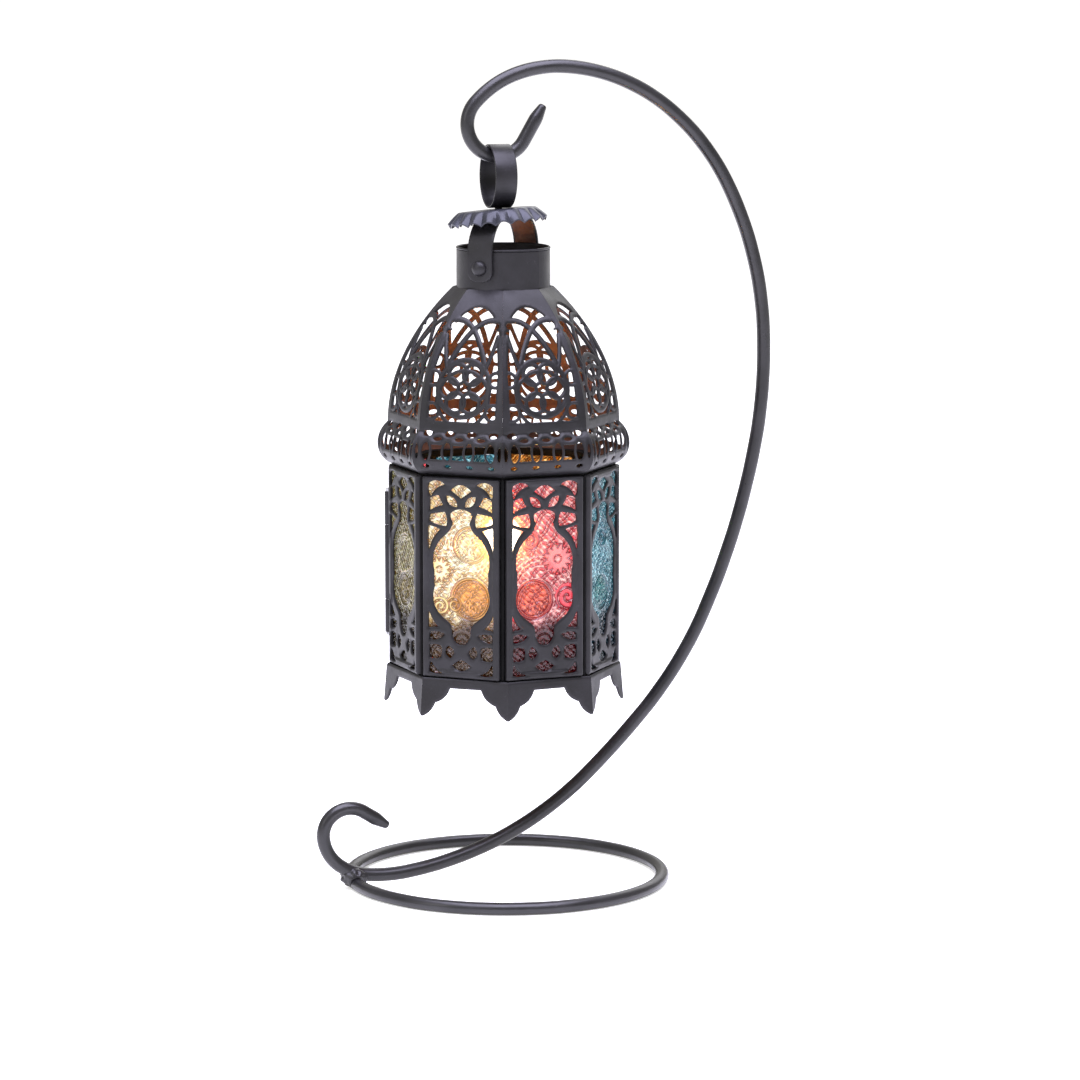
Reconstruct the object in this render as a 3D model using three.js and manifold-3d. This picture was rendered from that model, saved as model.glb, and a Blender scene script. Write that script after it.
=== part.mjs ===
// Octagonal candle lantern that hangs from a bent-rod stand. Millimetres, +Z up, front towards -Y.
import * as THREE from 'three';
import { mergeVertices } from 'three/addons/utils/BufferGeometryUtils.js';
import Module from 'manifold-3d';

const wasm = await Module();
wasm.setup();

// ---- Driving dimensions -------------------------------------------------------------------

const GAP = 0.3; // play between touching pieces
const SHEET = 0.8; // sheet steel of the lantern

// Stand: one round rod, bent in a vertical plane that is turned away from the front
const ROD_DIAMETER = 5.6;
const ROD_SIDES = 8;
const ROD_PLANE_TURN = 16; // degrees from +X towards +Y
const HOOK_LOW_POINT = { s: -3.0, z: 298.6 }; // s runs along the rod plane, from the ring's axis
const HOOK_TIP_BENDS = [[13, 10.5], [12, 49.5]]; // radius, sweep in degrees, from the low point
const HOOK_TIP_STRAIGHT = 15.5;
const ARM_BENDS = [ // radius, sweep: from the hook's low point, over the top and down to the curl
  [13, 132.5], [42, 28], [51, 23], [78, 33.5], [95, 25], [146, 24], [200, 14.5], [304, 14],
  [164, 16.5], [344, 6], [142, 35], [66, 15], [23.5, 29], [16.5, 47], [11, 129],
];
const CURL_TIP_STRAIGHT = 10.5;
const RING_OUTER_DIAMETER = 134.8;
const WELD_RADIUS = 6.2;

// Hanging loop, canopy cap and bail strap
const LOOP = { outer: 12.85, sheet: 1.0, width: 8, play: 3.9 }; // play: rod centre to inner top
const CAP = { top: 277.3, flat: 14, rim: 20.5, drop: 5.4, sheet: 0.6, flutes: 20, wave: 0.9 };
const CAP_TILT = 3; // degrees, left side low
const BAIL = { top: 276.4, sheet: 1.1, width: 11, reach: 20.9, bend: 16.5, turn: 27, foot: 249.4 };
const RIVET = { shank: 1.5, hole: 1.8, head: 2.75, rise: 1.5, z: 254.7 };

// Lantern: an octagon with one corner towards the front
const LANTERN_S = -1.0; // along the rod plane, from the ring's axis
const SIDES = 8;
const STEP = 360 / SIDES;
const HALF = THREE.MathUtils.degToRad(STEP / 2);
const CHIMNEY = { outer: 19.3, bottom: 246.5, top: 262.3 };
const DOME = { neck: 20.3, neckZ: 246.2, shoulder: 47.2, shoulderZ: 191, foot: 46.5, footZ: 173.9 };
const PANEL = { front: 44.6, half: 16.9, bottom: 91.8, top: 173, depth: 2.4, hingeRelief: 1.0 };
const LATTICE = { half: 13.5, bottom: 94.6, top: 170.4 };
const GLASS = { half: 14.7, bottom: 93.4, top: 171.4, back: 41.2, thick: 2.2 };
const FRAME = { inner: 38.5, outer: 43.2, bottom: 89.8, top: 174.9, rail: 1.7 };
const SKIRT = { top: 91.4, upper: 48.0, lower: 49.3, tip: 75.4, notch: 87.5 };
const FLOOR = { top: 89.5, reach: 43.0 };
const CUP = { outer: 21.3, height: 12, sheet: 0.8 };
const CANDLE = { radius: 19, height: 38, wick: 0.9, wickRise: 7 };
const HINGE = { reach: 47.0, barrel: 1.6, bore: 1.1, pin: 0.8, bottom: 104, low: 117.4, high: 148.6, top: 162 };
const PULL = { z: 132, inset: 14.9, radius: 2.6, reach: 5.5 };

// The eight faces, by the azimuth of their middle seen from the front, turning to the right
const FACES = [
  { name: 'front_right', glass: 0xd8485a },
  { name: 'right_front', glass: 0x3fb6c4 },
  { name: 'right_rear', glass: 0x7fd0b0 },
  { name: 'rear_right', glass: 0xe8a040 },
  { name: 'rear_left', glass: 0x5aa7d8 },
  { name: 'door', glass: 0xd8485a },
  { name: 'left_front', glass: 0xc9c04a },
  { name: 'front_left', glass: 0xf0d060 },
];
const DOOR_FACE = 5;

// ---- Materials ----------------------------------------------------------------------------

const blackPaint = new THREE.MeshStandardMaterial({ color: 0x3c3c40, roughness: 0.5, metalness: 0.35 });
const bareSteel = new THREE.MeshStandardMaterial({ color: 0x8c8c8e, roughness: 0.35, metalness: 1 });
const wax = new THREE.MeshStandardMaterial({ color: 0xf2e6c8, roughness: 0.6, metalness: 0 });
const cotton = new THREE.MeshStandardMaterial({ color: 0x2a2420, roughness: 0.95, metalness: 0 });

function colouredGlass(color) {
  return new THREE.MeshStandardMaterial({ color, roughness: 0.15, metalness: 0, transparent: true, opacity: 0.6 });
}

// ---- Geometry helpers ---------------------------------------------------------------------

const radians = THREE.MathUtils.degToRad;

// A closed three.js geometry as a solid that can be joined and cut
function solid(geometry) {
  const bare = geometry.clone();
  bare.deleteAttribute('normal');
  bare.deleteAttribute('uv');
  const merged = mergeVertices(bare, 1e-4);
  const corners = [];
  const index = merged.index.array;
  for (let i = 0; i < index.length; i += 3) {
    const [a, b, c] = [index[i], index[i + 1], index[i + 2]];
    if (a !== b && b !== c && c !== a) corners.push(a, b, c);
  }
  const vertProperties = Float32Array.from(merged.attributes.position.array);
  return new wasm.Manifold(new wasm.Mesh({ numProp: 3, vertProperties, triVerts: Uint32Array.from(corners) }));
}

function geometryOf(manifold) {
  const mesh = manifold.getMesh();
  const geometry = new THREE.BufferGeometry();
  geometry.setAttribute('position', new THREE.BufferAttribute(Float32Array.from(mesh.vertProperties), 3));
  geometry.setIndex(Array.from(mesh.triVerts));
  geometry.computeVertexNormals();
  return geometry;
}

function union(solids) {
  return solids.reduce((all, next) => all.add(next));
}

// A ring of revolution about +Z from a closed profile of [radius, z] points
function lathe(profile, segments) {
  const area = profile.reduce((sum, [r, z], i) => {
    const [rn, zn] = profile[(i + 1) % profile.length];
    return sum + r * zn - rn * z;
  }, 0);
  const ordered = area > 0 ? [...profile] : [...profile].reverse();
  ordered.push(ordered[0]);
  const points = ordered.map(([r, z]) => new THREE.Vector2(r, z));
  return new THREE.LatheGeometry(points, segments).rotateX(Math.PI / 2);
}

// A turned piece whose profile starts and ends on its own axis, from bottom to top
function turned(profile, segments) {
  const points = profile.map(([r, z]) => new THREE.Vector2(r, z));
  return new THREE.LatheGeometry(points, segments).rotateX(Math.PI / 2);
}

function rod(radius, from, to, segments = 20) {
  return turned([[0, from], [radius, from], [radius, to], [0, to]], segments);
}

function plate(shape, depth, curveSegments = 6) {
  return new THREE.ExtrudeGeometry(shape, { depth, bevelEnabled: false, curveSegments });
}

function rectangle(x0, y0, x1, y1) {
  const shape = new THREE.Shape();
  shape.moveTo(x0, y0);
  shape.lineTo(x1, y0);
  shape.lineTo(x1, y1);
  shape.lineTo(x0, y1);
  shape.closePath();
  return shape;
}

function box(x0, y0, z0, x1, y1, z1) {
  return plate(rectangle(x0, y0, x1, y1), z1 - z0).translate(0, 0, z0);
}

function disc(x, y, rx, ry, turn = 0) {
  return new THREE.Shape().absellipse(x, y, rx, ry, 0, 2 * Math.PI, false, turn);
}

function part(name, geometry, material) {
  const mesh = new THREE.Mesh(geometry, material);
  mesh.name = name;
  return mesh;
}

function group(...children) {
  const holder = new THREE.Group();
  children.forEach((child) => holder.add(child));
  return holder;
}

// The direction at an azimuth counted from the front, turning to the right
function outward(azimuth) {
  const a = radians(azimuth);
  return new THREE.Vector3(Math.sin(a), -Math.cos(a), 0);
}

// Face frame of the lantern: x along the face, y up, z outwards from the axis
function faceFrame(azimuth) {
  const normal = outward(azimuth);
  const along = outward(azimuth + 90);
  return new THREE.Matrix4().makeBasis(along, new THREE.Vector3(0, 0, 1), normal);
}

function turnTo(object, azimuth) {
  object.quaternion.setFromRotationMatrix(faceFrame(azimuth));
  return object;
}

function faceAzimuth(index) {
  return (index + 0.5) * STEP;
}

// Distance from the axis to the middle of a side, for a corner radius, and the other way round
const apothem = (corner) => corner * Math.cos(HALF);
const corner = (middle) => middle / Math.cos(HALF);

// ---- Stand --------------------------------------------------------------------------------

// A run of arcs and straights in the rod plane. Headings are in degrees, +s is 0, up is 90.
class BentPath extends THREE.Curve {
  constructor(pieces) {
    super();
    this.pieces = pieces;
    this.steps = pieces.map((piece) => piece.weight);
    this.total = this.steps.reduce((sum, step) => sum + step, 0);
  }

  getPoint(t, target = new THREE.Vector3()) {
    let rest = t * this.total;
    let i = 0;
    while (i < this.pieces.length - 1 && rest > this.steps[i]) {
      rest -= this.steps[i];
      i += 1;
    }
    const { s, z } = this.pieces[i].at(rest / this.steps[i]);
    return target.set(s, 0, z);
  }

  getPointAt(u, target) {
    return this.getPoint(u, target);
  }

  getTangentAt(u, target) {
    return this.getTangent(u, target);
  }
}

function arcPiece(start, heading, radius, sweep) {
  const turn = Math.sign(sweep);
  const centre = {
    s: start.s - turn * radius * Math.sin(radians(heading)),
    z: start.z + turn * radius * Math.cos(radians(heading)),
  };
  const at = (f) => {
    const now = radians(heading + f * sweep);
    return {
      s: centre.s + turn * radius * Math.sin(now),
      z: centre.z - turn * radius * Math.cos(now),
    };
  };
  const length = radius * Math.abs(radians(sweep));
  return { at, end: at(1), heading: heading + sweep, weight: Math.abs(sweep) / 16 + length / 9 };
}

function straightPiece(start, heading, length) {
  const at = (f) => ({
    s: start.s + f * length * Math.cos(radians(heading)),
    z: start.z + f * length * Math.sin(radians(heading)),
  });
  return { at, end: at(1), heading, weight: length / 5 };
}

// Follows bends from a start point; a negative side turns clockwise
function bend(start, heading, bends, straight, side) {
  const pieces = [];
  let [point, now] = [start, heading];
  for (const [radius, sweep] of bends) {
    const piece = arcPiece(point, now, radius, side * sweep);
    pieces.push(piece);
    [point, now] = [piece.end, piece.heading];
  }
  pieces.push(straightPiece(point, now, straight));
  return pieces;
}

function rodPath() {
  const tip = bend(HOOK_LOW_POINT, 0, HOOK_TIP_BENDS, HOOK_TIP_STRAIGHT, 1);
  const arm = bend(HOOK_LOW_POINT, 180, ARM_BENDS, CURL_TIP_STRAIGHT, -1);
  const reversed = arm.reverse().map((piece) => ({ ...piece, at: (f) => piece.at(1 - f) }));
  return new BentPath([...reversed, ...tip]);
}

function roundSection(radius, sides) {
  const points = [];
  for (let i = 0; i < sides; i += 1) {
    const a = (2 * Math.PI * i) / sides;
    points.push(new THREE.Vector2(radius * Math.cos(a), radius * Math.sin(a)));
  }
  return new THREE.Shape(points);
}

function ringSolid(growth) {
  const sides = ROD_SIDES;
  const radius = ROD_DIAMETER / 2 + growth;
  const centre = (RING_OUTER_DIAMETER - ROD_DIAMETER) / 2;
  const height = (ROD_DIAMETER / 2) * Math.cos(Math.PI / sides); // the ring rests on a flat of its section
  const profile = [];
  for (let i = 0; i < sides; i += 1) {
    const a = (2 * Math.PI * (i + 0.5)) / sides + Math.PI / 2;
    profile.push([centre + radius * Math.cos(a), height + radius * Math.sin(a)]);
  }
  return solid(lathe(profile, 64));
}

function rodSolid(growth) {
  const path = rodPath();
  const section = roundSection(ROD_DIAMETER / 2 + growth, ROD_SIDES);
  const steps = Math.round(path.total);
  return solid(new THREE.ExtrudeGeometry(section, { steps, extrudePath: path }));
}

// The bead sits where the rod crosses the ring, on the side opposite the turn of the rod plane
function weldBead() {
  const reach = (RING_OUTER_DIAMETER - ROD_DIAMETER) / 2;
  const ball = new THREE.SphereGeometry(WELD_RADIUS, 12, 8).scale(1, 0.85, 0.8).translate(-reach, 0, 5);
  const above = solid(box(-reach - 12, -12, GAP, -reach + 12, 12, 20));
  return solid(ball).intersect(above).subtract(rodSolid(GAP)).subtract(ringSolid(GAP));
}

function stand() {
  const arm = part('stand_rod', geometryOf(rodSolid(0).subtract(ringSolid(GAP))), blackPaint);
  const bead = part('weld_bead', geometryOf(weldBead()), blackPaint);
  const inRodPlane = group(arm, bead);
  inRodPlane.rotation.z = radians(ROD_PLANE_TURN);
  return group(part('base_ring', geometryOf(ringSolid(0)), blackPaint), inRodPlane);
}

// ---- Hanger: loop, cap and bail -----------------------------------------------------------

const LOOP_CENTRE = HOOK_LOW_POINT.z + LOOP.play - (LOOP.outer - LOOP.sheet);

function verticalHole(s) {
  return solid(rod(RIVET.hole, LOOP_CENTRE - LOOP.outer - 8, LOOP_CENTRE - 4).translate(s, 0, 0));
}

// Built in the rod plane's frame: x along the rod at the hook
function hangingLoop() {
  const [inner, outer, half] = [LOOP.outer - LOOP.sheet, LOOP.outer, LOOP.width / 2];
  const band = lathe([[inner, -half], [outer, -half], [outer, half], [inner, half]], 36);
  band.rotateY(Math.PI / 2).translate(HOOK_LOW_POINT.s, 0, LOOP_CENTRE);
  return part('hanging_loop', geometryOf(solid(band).subtract(verticalHole(HOOK_LOW_POINT.s))), blackPaint);
}

// A shallow dish with a fluted skirt
function canopyCap() {
  const { flat, rim, drop, sheet, flutes, wave } = CAP;
  const hole = RIVET.hole + 0.4;
  const profile = [
    [hole, 0], [flat, 0], [rim, -drop],
    [rim - 0.7 * sheet, -drop - 0.7 * sheet], [flat - 0.4 * sheet, -sheet], [hole, -sheet],
  ];
  const dish = lathe(profile, flutes * 3);
  const position = dish.attributes.position;
  for (let i = 0; i < position.count; i += 1) {
    const [x, y, z] = [position.getX(i), position.getY(i), position.getZ(i)];
    const r = Math.hypot(x, y);
    const depth = Math.max(0, (r - flat) / (rim - flat));
    const shift = wave * depth * Math.cos(flutes * Math.atan2(y, x));
    position.setXYZ(i, x + (0.5 * shift * x) / r, y + (0.5 * shift * y) / r, z + 0.8 * shift);
  }
  const cap = part('canopy_cap', geometryOf(solid(dish)), blackPaint);
  cap.rotation.y = -radians(CAP_TILT);
  cap.position.set(HOOK_LOW_POINT.s, 0, CAP.top);
  return cap;
}

function bailProfile() {
  const { top, sheet, reach, bend: radius, foot } = BAIL;
  const [x, y] = [reach - radius, top - radius];
  const shape = new THREE.Shape();
  shape.moveTo(reach, foot);
  shape.absarc(x, y, radius, 0, Math.PI / 2, false);
  shape.absarc(-x, y, radius, Math.PI / 2, Math.PI, false);
  shape.lineTo(-reach, foot);
  shape.lineTo(-reach + sheet, foot);
  shape.absarc(-x, y, radius - sheet, Math.PI, Math.PI / 2, true);
  shape.absarc(x, y, radius - sheet, Math.PI / 2, 0, true);
  shape.lineTo(reach - sheet, foot);
  shape.closePath();
  return shape;
}

// The strap's face, with rounded lower corners
function strapFace() {
  const [half, round, foot] = [BAIL.width / 2, 4, BAIL.foot];
  const shape = new THREE.Shape();
  shape.moveTo(half, BAIL.top + 1);
  shape.lineTo(-half, BAIL.top + 1);
  shape.absarc(-half + round, foot + round, round, Math.PI, 1.5 * Math.PI, false);
  shape.absarc(half - round, foot + round, round, 1.5 * Math.PI, 2 * Math.PI, false);
  shape.closePath();
  return shape;
}

// Bail frame: x along the strap's width, y up, z from the front rivet to the rear one
function bailStrap() {
  const { width, reach } = BAIL;
  const arch = plate(bailProfile(), width, 7).translate(0, 0, -width / 2).rotateY(-Math.PI / 2);
  const face = plate(strapFace(), 2 * reach + 4, 4).translate(0, 0, -reach - 2);
  const hole = rod(RIVET.hole, -reach - 2, reach + 2).translate(0, RIVET.z, 0);
  return solid(arch).intersect(solid(face)).subtract(solid(hole));
}

function loopRivet() {
  const low = BAIL.top - BAIL.sheet - GAP;
  const seat = LOOP_CENTRE - LOOP.outer + LOOP.sheet + GAP + 0.4;
  const profile = [
    [0, low - 1.2], [RIVET.head, low - 0.9], [RIVET.head, low], [RIVET.shank, low], [RIVET.shank, seat],
    [RIVET.head, seat], [RIVET.head * 0.8, seat + 0.8], [0, seat + 1.2],
  ];
  return part('loop_rivet', turned(profile, 12).translate(HOOK_LOW_POINT.s, 0, 0), blackPaint);
}

function hanger() {
  const inRodPlane = group(hangingLoop(), canopyCap(), loopRivet());
  inRodPlane.rotation.z = radians(ROD_PLANE_TURN);
  const centre = lanternCentre();
  const frame = faceFrame(180 - BAIL.turn).setPosition(centre);
  const hole = solid(rod(RIVET.hole, BAIL.top - 4, BAIL.top + 4).translate(...hookPoint()));
  const strap = solid(geometryOf(bailStrap()).applyMatrix4(frame)).subtract(hole);
  return group(inRodPlane, part('bail_strap', geometryOf(strap), blackPaint));
}

function inPlan(s) {
  const a = radians(ROD_PLANE_TURN);
  return new THREE.Vector3(s * Math.cos(a), s * Math.sin(a), 0);
}

function hookPoint() {
  return inPlan(HOOK_LOW_POINT.s).toArray();
}

function lanternCentre() {
  return inPlan(LANTERN_S);
}

// ---- Chimney and dome ---------------------------------------------------------------------

function chimney() {
  const { outer, bottom, top } = CHIMNEY;
  const inner = outer - SHEET;
  const tube = solid(lathe([[inner, bottom], [outer, bottom], [outer, top], [inner, top]], 40));
  const holes = rod(RIVET.hole, -outer - 2, outer + 2).applyMatrix4(faceFrame(180 - BAIL.turn));
  return part('chimney_collar', geometryOf(tube.subtract(solid(holes.translate(0, 0, RIVET.z)))), blackPaint);
}

// A rivet that pins one leg of the bail to the chimney; z is outwards, from the lantern's axis
function bailRivet(name, azimuth) {
  const inside = CHIMNEY.outer - SHEET - 0.5;
  const outside = BAIL.reach + GAP;
  const { head, shank, rise } = RIVET;
  const dome = [0.35, 0.7, 1].map((f) => [head * Math.sqrt(1 - f * f), outside + rise * f]);
  const profile = [
    [0, inside - 0.8], [head - 0.4, inside - 0.8], [head - 0.4, inside], [shank, inside],
    [shank, outside], [head, outside], ...dome,
  ];
  const rivet = part(name, turned(profile, 12), blackPaint);
  turnTo(rivet, azimuth);
  rivet.position.z = RIVET.z;
  return rivet;
}

// Corner radii of the dome down to its bulging foot, from two Bezier curves
function domeProfile() {
  const { neck, neckZ, shoulder, shoulderZ, foot, footZ } = DOME;
  const v = (x, y) => new THREE.Vector2(x, y);
  const bell = new THREE.CubicBezierCurve(
    v(neck, neckZ), v(38, 229), v(shoulder, 209), v(shoulder, shoulderZ),
  );
  const bulge = new THREE.CubicBezierCurve(
    v(shoulder, shoulderZ), v(52.6, 186.5), v(53.2, 177.5), v(foot, footZ),
  );
  return [...bell.getPoints(6), ...bulge.getPoints(5).slice(1)];
}

function domeShell() {
  const outer = domeProfile();
  const inner = outer.map((point, i) => {
    const before = outer[Math.max(0, i - 1)];
    const after = outer[Math.min(outer.length - 1, i + 1)];
    const along = after.clone().sub(before).normalize();
    return point.clone().add(new THREE.Vector2(along.y, -along.x).multiplyScalar(SHEET));
  });
  const profile = [...outer, ...inner.reverse()].map((point) => [point.x, point.y]);
  return solid(lathe(profile, SIDES));
}

// One eighth of the plan, less half the play at each mitre
function faceWedge(bottom, top) {
  const reach = 60;
  const inset = GAP / 2 / Math.cos(HALF) + 0.05;
  const half = (distance) => distance * Math.tan(HALF) - inset;
  const shape = new THREE.Shape();
  shape.moveTo(-half(reach), reach);
  shape.lineTo(-half(8), 8);
  shape.lineTo(half(8), 8);
  shape.lineTo(half(reach), reach);
  shape.closePath();
  // x along the face, z outwards: lay the outline flat and stand it up
  return plate(shape, top - bottom).rotateX(Math.PI / 2).scale(1, -1, 1).translate(0, bottom, 0);
}

// Openings of one gore: two petals over a round window
function goreCuts() {
  const depth = 60;
  const shapes = [
    disc(-4.6, 223, 2.6, 6, 0.42),
    disc(4.6, 223, 2.6, 6, -0.42),
    disc(0, 204, 9, 8),
  ];
  return union(shapes.map((shape) => solid(plate(shape, depth, 4))));
}

function domeGores() {
  const shell = domeShell();
  const cuts = goreCuts();
  const gores = group();
  for (let i = 0; i < SIDES; i += 1) {
    const azimuth = faceAzimuth(i);
    const inFace = faceFrame(azimuth);
    const wedge = faceWedge(DOME.footZ - 2, DOME.neckZ + 2).applyMatrix4(inFace);
    const openings = geometryOf(cuts).applyMatrix4(inFace);
    const gore = shell.intersect(solid(orient(wedge))).subtract(solid(openings));
    gores.add(part(`dome_gore_${i + 1}`, geometryOf(gore), blackPaint));
  }
  return gores;
}

// A mirrored geometry has its faces turned inside out: swap two corners of each
function orient(geometry) {
  const flat = geometry.index ? geometry : mergeVertices(geometry);
  const index = flat.index.array.slice();
  for (let i = 0; i < index.length; i += 3) {
    [index[i], index[i + 1]] = [index[i + 1], index[i]];
  }
  flat.setIndex(Array.from(index));
  return flat;
}

// ---- Body ---------------------------------------------------------------------------------

// Corner post section, in the frame of the face on its left: [along the face, outwards]
function postOutline(cornerAzimuth) {
  const side = PANEL.half + GAP;
  const half = [
    [side, 43.0], [side, 41.9], [15.2, 41.9], [15.2, 40.9], [13.8, 40.9], [13.8, 40.0],
  ];
  const toPlan = ([u, n], mirror) => {
    const radial = n * Math.cos(HALF) + u * Math.sin(HALF);
    const sideways = mirror * (n * Math.sin(HALF) - u * Math.cos(HALF));
    const point = outward(cornerAzimuth).multiplyScalar(radial);
    return point.add(outward(cornerAzimuth + 90).multiplyScalar(sideways));
  };
  const points = [
    outward(cornerAzimuth).multiplyScalar(corner(43.0)),
    ...half.map((point) => toPlan(point, -1)),
    outward(cornerAzimuth).multiplyScalar(corner(40.0)),
    ...half.reverse().map((point) => toPlan(point, 1)),
  ];
  return new THREE.Shape(points.map((point) => new THREE.Vector2(point.x, point.y)));
}

function octagonRail(inner, outer, bottom, top) {
  const [a, b] = [corner(inner), corner(outer)];
  return solid(lathe([[a, bottom], [b, bottom], [b, top], [a, top]], SIDES));
}

function hingePlace() {
  return outward((DOOR_FACE + 1) * STEP).multiplyScalar(HINGE.reach);
}

// Corner posts stand between two octagonal rails; two of them are relieved for the hinge barrels
function bodyFrame() {
  const { inner, outer, bottom, top, rail } = FRAME;
  const [low, high] = [bottom + rail + GAP, top - rail - GAP];
  const relief = rod(HINGE.barrel + GAP, HINGE.bottom - 2.4, HINGE.top + 2.4, 16);
  const hollow = solid(relief.translate(...hingePlace().toArray()));
  const frame = group(
    part('upper_rail', geometryOf(octagonRail(inner, outer - 1.2, top - rail, top)), blackPaint),
    part('lower_rail', geometryOf(octagonRail(inner, outer, bottom, bottom + rail)), blackPaint),
  );
  for (let i = 0; i < SIDES; i += 1) {
    const post = solid(plate(postOutline(i * STEP), high - low).translate(0, 0, low)).subtract(hollow);
    frame.add(part(`corner_post_${i + 1}`, geometryOf(post), blackPaint));
  }
  return frame;
}

// The vase-shaped window of a panel
function vaseShape(grow = 0) {
  const g = grow;
  const middle = (LATTICE.bottom + LATTICE.top) / 2;
  const half = 28.5 + g;
  const side = (m) => [
    [m * (1.4 + g), middle + half, m * (2.4 + g), middle + half - 6, m * (3.2 + g), middle + half - 9],
    [m * (11.8 + g), middle + 15, m * (12.2 + g), middle - 15, m * (3.2 + g), middle - half + 9],
    [m * (2.4 + g), middle - half + 6, m * (1.4 + g), middle - half, 0, middle - half],
  ];
  const shape = new THREE.Shape();
  shape.moveTo(0, middle + half);
  side(1).forEach((curve) => shape.bezierCurveTo(...curve));
  const back = side(-1);
  shape.bezierCurveTo(-1.4 - g, middle - half, -2.4 - g, middle - half + 6, -3.2 - g, middle - half + 9);
  shape.bezierCurveTo(-12.2 - g, middle - 15, -11.8 - g, middle + 15, back[0][4], back[0][5]);
  shape.bezierCurveTo(-2.4 - g, middle + half - 6, -1.4 - g, middle + half, 0, middle + half);
  return shape;
}

// Corner openings above and below the window
function cornerShapes() {
  const { half, bottom, top } = LATTICE;
  const places = [[-1, top, -1], [1, top, -1], [-1, bottom, 1], [1, bottom, 1]];
  return places.map(([sx, y, sy]) => {
    const shape = new THREE.Shape();
    shape.moveTo(sx * half, y);
    shape.lineTo(sx * half, y + sy * 14);
    shape.lineTo(sx * (half - 3.5), y + sy * 5);
    shape.lineTo(sx * (half - 9), y);
    shape.closePath();
    return shape;
  });
}

// Face frame: a shallow tray with its open side inwards and two tabs that hold the pane
function panelTray(left, right) {
  const { front, bottom, top, depth } = PANEL;
  const back = front - depth;
  const wall = solid(box(-left, bottom, back, right, top, front));
  const hollow = solid(box(-left + SHEET, bottom + SHEET, back - 1, right - SHEET, top - SHEET, front - SHEET));
  const window = [vaseShape(), ...cornerShapes()].map((shape) => {
    return solid(plate(shape, 4, 4).translate(0, 0, front - 3));
  });
  const lipBack = GLASS.back - GAP - 0.5;
  const tabs = [[top - SHEET, top, top - 5], [bottom, bottom + SHEET, bottom + 5]].map(([low, high, lip]) => {
    const stem = solid(box(-5, low, lipBack, 5, high, back + 0.5));
    const hold = solid(box(-5, Math.min(low, lip), lipBack, 5, Math.max(high, lip), lipBack + 0.5));
    return stem.add(hold);
  });
  return union([wall.subtract(hollow), ...tabs]).subtract(union(window));
}

function panel(index) {
  const relief = PANEL.hingeRelief;
  const left = PANEL.half - (index === DOOR_FACE + 1 ? relief : 0);
  const right = PANEL.half - (index === DOOR_FACE ? relief : 0);
  const tray = index === DOOR_FACE ? panelTray(left, right).subtract(pullHole()) : panelTray(left, right);
  return part(`${FACES[index].name}_panel`, geometryOf(tray), blackPaint);
}

function pane(index) {
  const { half, bottom, top, back, thick } = GLASS;
  const geometry = new THREE.BoxGeometry(2 * half, top - bottom, thick);
  geometry.translate(0, (top + bottom) / 2, back + thick / 2);
  return part(`${FACES[index].name}_glass`, geometry, colouredGlass(FACES[index].glass));
}

// ---- Skirt, floor and candle --------------------------------------------------------------

// The gap between two feet on one face, with a small step half-way up each foot
function footGap() {
  const { tip, notch } = SKIRT;
  const half = apothem(SKIRT.lower) * Math.tan(HALF);
  const below = tip - 4;
  const right = new THREE.Shape();
  right.moveTo(-half, below);
  right.lineTo(-half, tip);
  right.quadraticCurveTo(-half + 4.2, tip + 2.2, -half + 5.8, tip + 5.4);
  right.lineTo(-half + 6.9, tip + 6.3);
  right.quadraticCurveTo(-half + 10.4, notch - 4, -half + 12.2, notch);
  right.lineTo(half - 12.2, notch);
  right.quadraticCurveTo(half - 10.4, notch - 4, half - 6.9, tip + 6.3);
  right.lineTo(half - 5.8, tip + 5.4);
  right.quadraticCurveTo(half - 4.2, tip + 2.2, half, tip);
  right.lineTo(half, below);
  right.closePath();
  return right;
}

function baseSkirt() {
  const { top, upper, lower, tip } = SKIRT;
  const wall = SHEET / Math.cos(HALF);
  const band = [[upper - wall, top], [upper, top], [lower, tip - 1], [lower - wall, tip - 1]];
  const gap = solid(plate(footGap(), 30, 3).translate(0, 0, 30));
  const cuts = [];
  for (let i = 0; i < SIDES; i += 1) {
    cuts.push(solid(geometryOf(gap).applyMatrix4(faceFrame(faceAzimuth(i)))));
  }
  const skirt = solid(lathe(band, SIDES)).subtract(union(cuts));
  return part('base_skirt', geometryOf(skirt), blackPaint);
}

function floorPlate() {
  const [edge, top] = [corner(FLOOR.reach), FLOOR.top];
  return part('floor_plate', turned([[0, top - SHEET], [edge, top - SHEET], [edge, top], [0, top]], SIDES), blackPaint);
}

const CUP_FLOOR = FLOOR.top + GAP + CUP.sheet;

function candleCup() {
  const { outer, height, sheet } = CUP;
  const low = FLOOR.top + GAP;
  const profile = [
    [0, low], [outer - 1, low], [outer, low + 1], [outer, low + height],
    [outer - sheet, low + height], [outer - sheet, CUP_FLOOR + 0.5], [outer - sheet - 0.5, CUP_FLOOR], [0, CUP_FLOOR],
  ];
  return part('candle_cup', turned(profile, 32), blackPaint);
}

function votiveCandle() {
  const { radius, height, wick: wickRadius } = CANDLE;
  const [low, bore] = [CUP_FLOOR + GAP, wickRadius + GAP];
  const top = low + height;
  const profile = [
    [0, low], [radius - 1, low], [radius, low + 1], [radius, top - 1], [radius - 1, top],
    [radius * 0.6, top - 1.6], [bore, top - 2], [bore, top - 5], [0, top - 5],
  ];
  return part('votive_candle', turned(profile, 28), wax);
}

function wick() {
  const top = CUP_FLOOR + GAP + CANDLE.height;
  return part('wick', rod(CANDLE.wick, top - 4.6, top - 2 + CANDLE.wickRise, 10), cotton);
}

// ---- Door hardware ------------------------------------------------------------------------

function knuckle(bottom, top) {
  const { barrel, bore } = HINGE;
  return lathe([[bore, bottom], [barrel, bottom], [barrel, top], [bore, top]], 16);
}

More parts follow.
